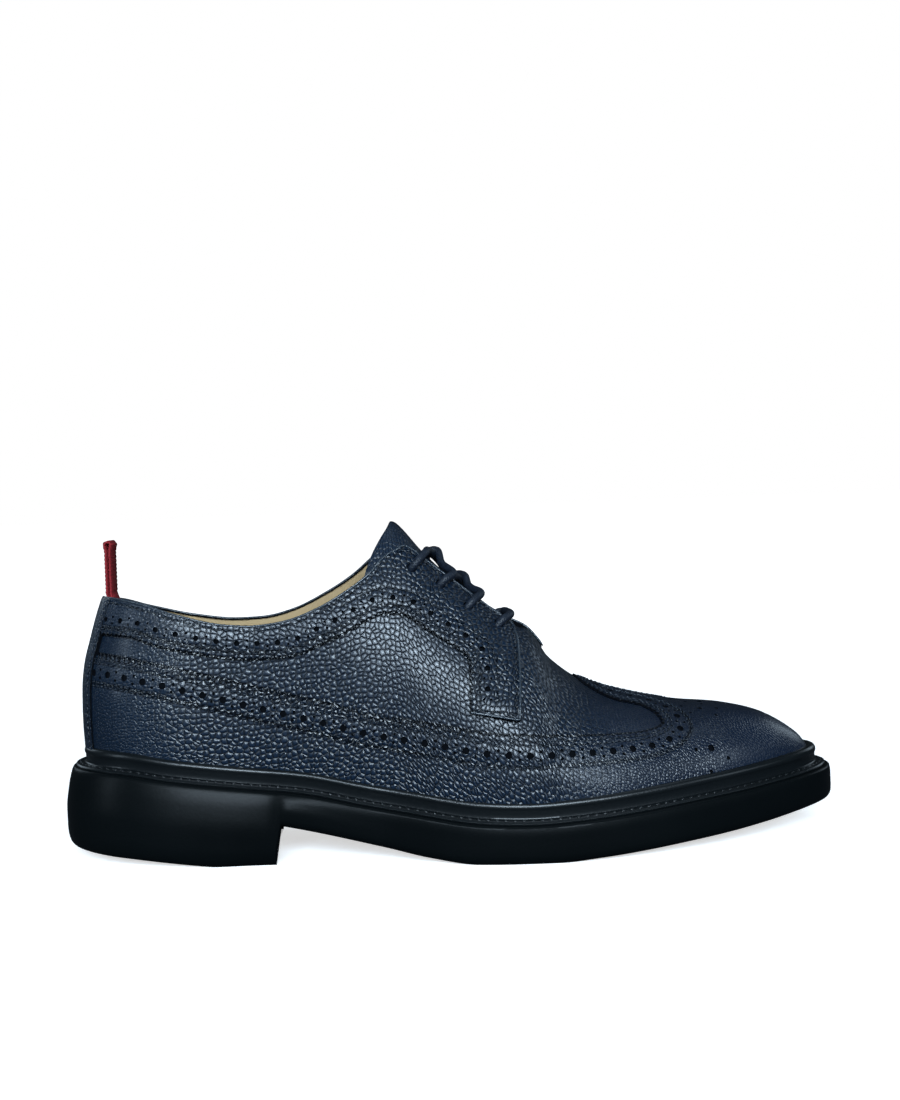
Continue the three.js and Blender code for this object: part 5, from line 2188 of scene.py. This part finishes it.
@dataclass
class Sole:
    """The moulded rubber unit: its heel, waist and forefoot, and the welt on its ledge."""

    last: Last
    finishes: Finishes
    stations: int = 300
    wall_levels: int = 22
    across: int = 46
    groove_pitch: float = 7.0
    groove_width: float = 1.6
    groove_depth: float = 0.9
    groove_margin: float = 9.0
    heel_grooves: tuple[float, float] = (0.05, 0.238)
    fore_grooves: tuple[float, float] = (0.47, 0.93)
    edge_radius: float = 0.5
    top_round: float = 0.05
    low_round: float = 0.04
    bead_radius: float = 0.27
    bead_in: float = 0.35
    bead_start: float = 218.0
    bead_end: float = -30.0
    top_share: float = 0.8
    welt_root: float = 1.6
    welt_steps: int = 560
    stitch_pitch: float = 3.4
    stitch_length: float = 2.3
    stitch_radius: float = 0.4
    stitch_out: float = 1.9
    stitch_up: float = 1.0

    def side_levels(self) -> Array:
        """Returns shares of the side's height, closer together at its edges."""
        turn = np.linspace(0, math.pi, self.wall_levels)
        return (1 - np.cos(turn)) / 2

    def shares(self) -> list[tuple[float, bool, bool]]:
        """Lists the sections of the sole.

        Returns:
            Each section's share of the length, whether it is the heel's, and the breast's.
        """
        s, room = self.last.sizes, 0.012
        breast = s.breast_place / s.sole_length
        top = (s.breast_place + s.breast_lean) / s.sole_length
        middle = (breast + top) / 2
        plain = (1 - np.cos(np.linspace(0, math.pi, self.stations))) / 2
        found = [(float(v), v < breast, False) for v in plain if abs(v - middle) > room]
        return sorted([*found, (breast, True, True), (top, False, True)])

    def groove(self, x: Array, inset: Array, heel: bool) -> Array:
        """Returns the depth of the tread's grooves at places and distances from the edge."""
        phase = np.abs((x / self.groove_pitch) % 1 - 0.5) * self.groove_pitch
        flat, brink, inside, outside = 0.3, 0.6, 0.6, 0.4
        cut = 1 - ease(self.groove_width * flat, self.groove_width * brink, phase)
        margin = self.groove_margin
        field_mask = ease(margin - inside, margin + outside, inset)
        share, blur = self.last.share_at(x), 0.003
        start, end = self.heel_grooves if heel else self.fore_grooves
        zone = ease(start, start + blur, share) * (1 - ease(end, end + blur, share))
        return self.groove_depth * cut * field_mask * zone

    def build_outsole(self) -> Piece:
        """Makes the outsole as a loft of sections from heel to toe."""
        last, s = self.last, self.last.sizes
        levels = self.side_levels()
        share_across = np.linspace(0, 1, self.across + 2)[1:-1]
        top_across = np.linspace(0, 1, 8)[1:-1]
        sections = []
        for share, heel, breasted in self.shares():
            angle, x = math.acos(1 - 2 * share), last.place_of(share)
            inset = last.wall_inset(np.full(len(levels), share), levels) + self.rounding(levels)
            rows = {}
            for side in Side:
                skew = s.breast_skew if breasted and side is Side.INNER else 0.0
                xy = last.edge(np.full(len(levels), side.value * angle), inset)
                xy[:, 0] -= skew
                z = mix(last.tread(np.array(x), heel), last.ledge(np.array(x - skew)), levels)
                rows[side] = np.column_stack([xy, z])
            outer, inner = rows[Side.OUTER], rows[Side.INNER]
            floor = mix(outer[0], inner[0], share_across[:, None])
            width = np.linalg.norm(outer[0] - inner[0])
            from_edge = np.minimum(share_across, 1 - share_across) * width
            floor[:, 2] += self.groove(floor[:, 0], from_edge, heel)
            roof = mix(outer[-1], inner[-1], top_across[:, None])
            sections.append(np.concatenate([outer[::-1], floor, inner, roof[::-1]]))
        faces = grid_faces(len(sections), len(sections[0]), closed=True)
        faces = [tuple(reversed(face)) for face in faces]
        points = np.concatenate(sections) * last.metre
        return make_piece("rubber_sole", points, faces, [self.finishes.rubber], weld=True, sharp=32)

    def rounding(self, levels: Array) -> Array:
        """Returns how far the side's edges are rounded in, over the table's own slopes."""
        top = np.clip((levels - 1 + self.top_round) / self.top_round, 0, 1)
        low = np.clip((self.low_round - levels) / self.low_round, 0, 1)
        return self.edge_radius * sum(1 - np.sqrt(1 - end**2 + 1e-9) for end in (top, low))

    def welt_section(self) -> Array:
        """Returns the welt's section: distance in from its outer face and height.

        Returns:
            The section's corners from the inner foot, over the lip and band, round the bead.
        """
        s = self.last.sizes
        bead, root = self.bead_radius * s.welt_height, s.welt_thickness * self.welt_root
        middle = np.array([bead - self.bead_in, s.welt_height - bead])
        turn = np.radians(np.linspace(self.bead_start, self.bead_end, 20))
        arc = middle + bead * np.column_stack([np.cos(turn), np.sin(turn)])
        lip, band = np.array(list(WELT_LIP)) - (s.ledge, 0), np.array(list(WELT_BAND))
        foot, top = (root, lip[0, 1]), (root, s.welt_height * self.top_share)
        return np.concatenate([[foot], lip, band, arc, [top]])

    def welt_path(self, angles: Array, into: float, up: float) -> Array:
        """Returns the line round the shoe at a distance in from the welt's face and a height."""
        last = self.last
        share = (1 - np.cos(angles)) / 2
        z = last.ledge(last.place_of(share)) + last.sizes.clearance + up
        return np.column_stack([last.edge(angles, last.welt_inset(share) + into), z])

    def build_welt(self) -> Piece:
        """Makes the welt with its lip, band and round bead."""
        profile = self.welt_section()
        angles = np.linspace(0, 2 * math.pi, self.welt_steps, endpoint=False)
        rings = [self.welt_path(angles, into, up) for into, up in profile]
        points = np.stack(rings, 1).reshape(-1, 3) * self.last.metre
        faces = grid_faces(len(angles) + 1, len(profile), closed=True)
        faces = [tuple(c % len(points) for c in face) for face in faces]
        return make_piece("storm_welt", points, faces, [self.finishes.welt], sharp=40)

    def build_welt_stitches(self) -> Piece:
        """Makes the row of stitches on the welt's lip."""
        angles = np.linspace(0, 2 * math.pi, 2400, endpoint=False)
        path = self.welt_path(angles, -self.stitch_out, self.stitch_up)
        closed = np.concatenate([path, path[:1]])
        run = np.linalg.norm(np.diff(closed, axis=0), axis=1)
        length = np.concatenate([[0], np.cumsum(run)])
        goals = np.arange(0, length[-1] - 1, self.stitch_pitch)
        starts, ends = (
            np.stack([np.interp(goals + ahead, length, closed[:, k]) for k in range(3)], -1)
            for ahead in (0.0, self.stitch_length)
        )
        ups = np.repeat([[0.0, 0.0, 1.0]], len(goals), 0)
        thread = (self.stitch_radius, self.last.metre, self.finishes.welt)
        return stitch_mesh("welt_stitches", starts, ends, ups, *thread)

    def build(self) -> list[Placed]:
        """Makes the outsole, the welt and its stitches."""
        return [
            (self.build_outsole(), "rubber", ("outsole",)),
            (self.build_welt(), "rubber", ("welt",)),
            (self.build_welt_stitches(), "rubber", ()),
        ]


@dataclass
class Laces:
    """The round lace through four pairs of eyelets, its ends tucked inside."""

    last: Last
    finishes: Finishes
    sides: int = 14
    landing: float = 0.25
    settled: float = 0.9
    crossing_high: float = 2.5
    crossing_low: float = 0.2
    inside: float = 1.0
    rise_clear: float = 0.5
    rise_settled: float = 0.2

    def eyelet(self, row: int, side: Side, height: float) -> Array:
        """Returns the point over an eyelet at a height over the last."""
        at, up = (np.array(EYELETS[name][row]) for name in ("at", "up"))
        return self.last.lift(self.last.beside(at, up, side)[None], height)[0]

    def over(self, x: float, off: float, height: float) -> Array:
        """Returns the point over a place seen from above, at a height over the last."""
        at = self.last.share_at(np.array([x]))
        return self.last.lift(self.last.above(at, np.array([off])), height)[0]

    def edge(self, row: int, side: Side) -> tuple[float, float]:
        """Returns where the lace crosses a facing's edge: place, and distance off the ridge."""
        s = self.last.sizes
        x = float(self.last.place_of(EYELETS["at"][row])) + s.eyelet_setback / 2
        return x, -side.value * 0.5 * s.throat_width

    def rise(self, row: int, side: Side) -> list[Array]:
        """Returns the points from inside an eyelet up and over its facing."""
        s = self.last.sizes
        top = s.quarter_step + s.lace_radius
        hole = self.eyelet(row, side, 0.0)
        ahead = self.over(*self.edge(row, side), top + self.rise_clear)
        lifted = self.eyelet(row, side, top - self.rise_settled)
        return [
            self.eyelet(row, side, -s.wall - self.inside),
            mix(hole, ahead, 0.05),
            mix(lifted, ahead, 0.3),
            ahead,
        ]

    def bar(self) -> Array:
        """Returns the path of the straight bar over the eyelets nearest the toe."""
        s = self.last.sizes
        row = len(EYELETS["at"]) - 1
        x = self.edge(row, Side.OUTER)[0]
        middle = self.over(x, 0.0, s.lace_radius - s.wall + self.settled)
        knots = [*self.rise(row, Side.OUTER), middle, *self.rise(row, Side.INNER)[::-1]]
        return smooth_path(np.array(knots))

    def strand(self, start: int, side: Side, lift: float, under: bool) -> Array:
        """Returns the path of one strand that crosses to the next row up.

        Args:
            start: eyelet row that it leaves.
            side: side that it leaves from.
            lift: its extra height where the strands cross.
            under: whether it ends under the other facing.

        Returns:
            Points along the strand's middle.
        """
        s = self.last.sizes
        other = Side.INNER if side is Side.OUTER else Side.OUTER
        near, far = self.edge(start, side), self.edge(start - 1, other)
        stops = [(self.landing, self.settled), (0.5, lift)]
        if under:
            stops += [(1 - self.landing, 0.5), (1.05, -0.2), (1.2, -0.6)]
        else:
            stops.append((1 - self.landing, self.settled))
        knots = self.rise(start, side)
        for share, height in stops:
            x, off = (float(mix(a, b, share)) for a, b in zip(near, far))
            knots.append(self.over(x, off, s.lace_radius - s.wall + height))
        if not under:
            knots += self.rise(start - 1, other)[::-1]
        return smooth_path(np.array(knots))

    def piece(self, name: str, paths: list[Array]) -> Piece:
        """Makes one lace piece from the paths of its strands."""
        last, finish = self.last, self.finishes.lace
        return make_tubes(name, paths, last.sizes.lace_radius, self.sides, last.metre, finish)

    def crossed(self, start: int, under: bool) -> list[Array]:
        """Returns the two strands that cross from one row of eyelets to the next."""
        return [
            self.strand(start, Side.OUTER, self.crossing_high, under),
            self.strand(start, Side.INNER, self.crossing_low, under),
        ]

    def build(self) -> list[Placed]:
        """Makes the bar and the two crossings."""
        parts = (
            ("lace_straight_bar", "lace_bar", [self.bar()]),
            ("lace_lower_crossing", "lace_cross_lower", self.crossed(2, True)),
            ("lace_upper_crossing", "lace_cross_upper", self.crossed(1, False)),
        )
        return [(self.piece(name, paths), "lace", (node,)) for name, node, paths in parts]


@dataclass
class PullLoop:
    """The folded tape that stands over the back of the collar."""

    last: Last
    finishes: Finishes
    ribs: int = 44
    rib_depth: float = 0.12
    bow: float = 1.25
    gap: float = 0.08
    foot_in: float = 2.2
    foot_lean: float = 1.2
    rise_start: float = 1.5
    rise_end: float = 2.5
    tail_trim: float = 1.0
    tail_bend: float = 4.0
    tail_gap: float = 0.1
    edge_share: float = 0.45

    def path(self) -> Array:
        """Returns the tape's middle line from one tail up, over and down, as x and z."""
        s = self.last.sizes
        low, high = (corner / self.last.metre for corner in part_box("pull_loop"))
        rim = self.last.height_of(1.0)
        foot, middle = high[0] - s.loop_depth + self.foot_in, low[0] + s.loop_depth / 2
        close = s.tape_thickness / 2 + self.gap
        top = high[2] - self.bow - s.tape_thickness / 2
        turn = np.radians(np.linspace(180, 0, 15))
        arch = np.array([middle, top]) + self.bow * np.column_stack([np.cos(turn), np.sin(turn)])
        rise = np.linspace(rim + self.rise_start, top - self.rise_end, 10)
        left = np.column_stack([np.full(len(rise), middle - close), rise])
        right = np.column_stack([np.full(len(rise), middle + close), rise[::-1]])
        ends = (rim - s.loop_tail + self.tail_trim, rim - self.tail_bend)
        tails = np.column_stack([(foot, foot - self.foot_lean), ends])
        other = tails[::-1] + (s.tape_thickness + self.tail_gap, 0)
        knots = np.concatenate([tails, left, arch, right, other])
        return smooth_path(np.column_stack([knots[:, 0], np.zeros(len(knots)), knots[:, 1]]), 4)

    def build(self) -> list[Placed]:
        """Makes the tape with its ribs."""
        s, last = self.last.sizes, self.last
        low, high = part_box("pull_loop")
        middle = (low[1] + high[1]) / 2 / last.metre
        path = self.path()
        normal = np.cross((0.0, 1.0, 0.0), unit(np.gradient(path, axis=0)))
        length = np.concatenate([[0], np.cumsum(np.linalg.norm(np.diff(path, axis=0), axis=1))])
        wave = self.rib_depth * np.sin(length / length[-1] * self.ribs * 2 * math.pi)
        thick = s.tape_thickness / 2 - self.rib_depth + wave
        across = (-1, -0.9, 0.9, 1)
        corners = [(share, 1) for share in across] + [(share, -1) for share in across[::-1]]
        rings = []
        for share, side in corners:
            out = thick * side * (self.edge_share if abs(share) == 1 else 1.0)
            shift = (0, middle + share * s.loop_width / 2, 0)
            rings.append(path + normal * out[:, None] + shift)
        points = np.stack(rings, 1).reshape(-1, 3) * last.metre
        faces = rod_faces(len(path), len(corners))
        piece = make_piece("heel_pull_loop", points, faces, [self.finishes.tape], sharp=50)
        return [(piece, "tape", ("pull_loop",))]


@dataclass(frozen=True)
class Lamp:
    """A soft rectangular light that faces the shoe."""

    name: str
    place: Triple
    size: tuple[float, float]
    power: float
    color: Triple = (0.7, 0.86, 1.0)
    target: Triple = (0.0, 0.0, 0.06)

    def build(self) -> None:
        """Adds the light."""
        data = bpy.data.lights.new(self.name, "AREA")
        data.shape = "RECTANGLE"
        data.size, data.size_y = self.size
        data.energy = self.power
        data.color = self.color
        lamp = bpy.data.objects.new(self.name, data)
        lamp.location = self.place
        aim = Vector(self.target) - Vector(self.place)
        lamp.rotation_mode = "QUATERNION"
        lamp.rotation_quaternion = aim.to_track_quat("-Z", "Y")
        bpy.context.scene.collection.objects.link(lamp)


LAMPS = (
    Lamp("key", (0.0, -1.6, 0.68), (1.1, 0.4), 56),
    Lamp("top", (0.1, 0.2, 1.9), (1.4, 1.0), 5),
    Lamp("far heel", (-1.3, 1.0, 0.7), (0.6, 0.6), 3.5),
    Lamp("far toe", (1.3, 1.0, 0.7), (0.6, 0.6), 2.5),
    Lamp("toe", (1.3, -0.9, 0.7), (0.5, 0.6), 4),
    Lamp("heel", (-1.4, -0.7, 0.5), (0.3, 0.8), 5),
)


@dataclass(frozen=True)
class Studio:
    """Camera, floor, surround and soft lights."""

    eye: Triple = (0.0, -0.613, 0.138)
    roll: float = 0.0405
    lens: float = 50.0
    shift: tuple[float, float] = (0.01056, -0.0510)
    floor_reach: float = 14.0
    floor_sides: int = 64
    floor_glow: tuple[float, ...] = (0.25, 0.8, 0.62, 1.05)
    floor_seen: tuple[float, ...] = (0.9, 0.9, 0.9, 1)
    floor_unseen: tuple[float, ...] = (0.06, 0.06, 0.065, 1)
    sky_color: tuple[float, ...] = (0.7, 0.86, 1, 1)
    sky_power: float = 0.03

    def camera(self) -> None:
        """Sets the camera level with the instep, turned a little about its own axis."""
        data = bpy.data.cameras.new("camera")
        data.lens = self.lens
        data.sensor_width = 36.0
        data.sensor_fit = "AUTO"
        data.shift_x, data.shift_y = self.shift
        camera = bpy.data.objects.new("camera", data)
        bpy.context.scene.collection.objects.link(camera)
        c, s = math.cos(self.roll), math.sin(self.roll)
        axes = Matrix(((c, s, 0, 0), (0, 0, -1, 0), (-s, c, 0, 0), (0, 0, 0, 1)))
        camera.matrix_world = Matrix.Translation(self.eye) @ axes
        bpy.context.scene.camera = camera

    def floor(self) -> None:
        """Makes the pale floor, which looks white to the camera and lights the shoe little."""
        mesh = bpy.data.meshes.new("floor")
        turns = np.linspace(0, 2 * math.pi, self.floor_sides, endpoint=False)
        ring = [(self.floor_reach * math.cos(a), self.floor_reach * math.sin(a), 0) for a in turns]
        mesh.from_pydata(ring, [], [tuple(range(self.floor_sides))])
        finish = bpy.data.materials.new("pale_floor")
        finish.use_nodes = True
        surface = finish.node_tree.nodes["Principled BSDF"]
        surface.inputs["Roughness"].default_value = 0.9
        surface.inputs["Specular IOR Level"].default_value = 0.0
        surface.inputs["Emission Color"].default_value = (1, 1, 1, 1)
        shader = Shader(finish.node_tree)
        seen = shader.node("LightPath").outputs["Is Camera Ray"]
        far = shader.spread(shader.vector("LENGTH", place_in_object(shader)), *self.floor_glow)
        shader.put(surface, "Emission Strength", shader.sum("MULTIPLY", far, seen))
        color = shader.blend(seen, self.floor_unseen, self.floor_seen)
        shader.put(surface, "Base Color", color)
        mesh.materials.append(finish)
        floor = bpy.data.objects.new("floor", mesh)
        bpy.context.scene.collection.objects.link(floor)

    def sky(self) -> None:
        """Sets a surround that looks white to the camera and lights the shoe only faintly."""
        world = bpy.data.worlds.new("surround")
        bpy.context.scene.world = world
        world.use_nodes = True
        world.node_tree.nodes.clear()
        shader = Shader(world.node_tree)
        seen = shader.node("LightPath").outputs["Is Camera Ray"]
        white = shader.node("Background", Color=(1, 1, 1, 1))
        dim = shader.node("Background", Color=self.sky_color, Strength=self.sky_power)
        chosen = shader.node("MixShader")
        for i, value in enumerate((seen, dim.outputs[0], white.outputs[0])):
            shader.put(chosen, i, value)
        shader.node("OutputWorld", Surface=chosen.outputs[0])

    def build(self) -> None:
        """Makes the whole studio."""
        self.camera()
        self.floor()
        self.sky()
        for lamp in LAMPS:
            lamp.build()
        view = bpy.context.scene.view_settings
        view.view_transform = "Standard"
        view.look = "None"


def place(piece: Piece, slot: str, nodes: tuple[str, ...]) -> None:
    """Fixes a piece to the shoe's body and hides the nodes that it stands for."""
    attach(piece, "root")
    if nodes:
        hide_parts(*nodes)
    log.info("%s: %d faces", piece.name, len(piece.data.polygons))


def main() -> None:
    """Builds the studio and the shoe, piece by piece."""
    logging.basicConfig(level=logging.INFO, format="%(name)s %(message)s")
    studio = Studio()
    studio.build()
    low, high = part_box("outsole")
    last = Last(Sizes(), high[0] - low[0])
    finishes = Finishes(Groups())
    stitches = StitchRows("upper_stitches", last)
    upper = Upper(last, finishes, stitches)
    pieces = upper.build()
    pieces.append((Tongue(last, finishes).build(), "leather", ("tongue",)))
    pieces += Sole(last, finishes).build()
    pieces += Laces(last, finishes).build()
    pieces += PullLoop(last, finishes).build()
    pieces.append((stitches.build(finishes.thread), "lace", ()))
    for piece, slot, nodes in pieces:
        place(piece, slot, nodes)
    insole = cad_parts["insole"]
    insole.data.materials.clear()
    insole.data.materials.append(finishes.lining)


if __name__ == "__main__":
    main()
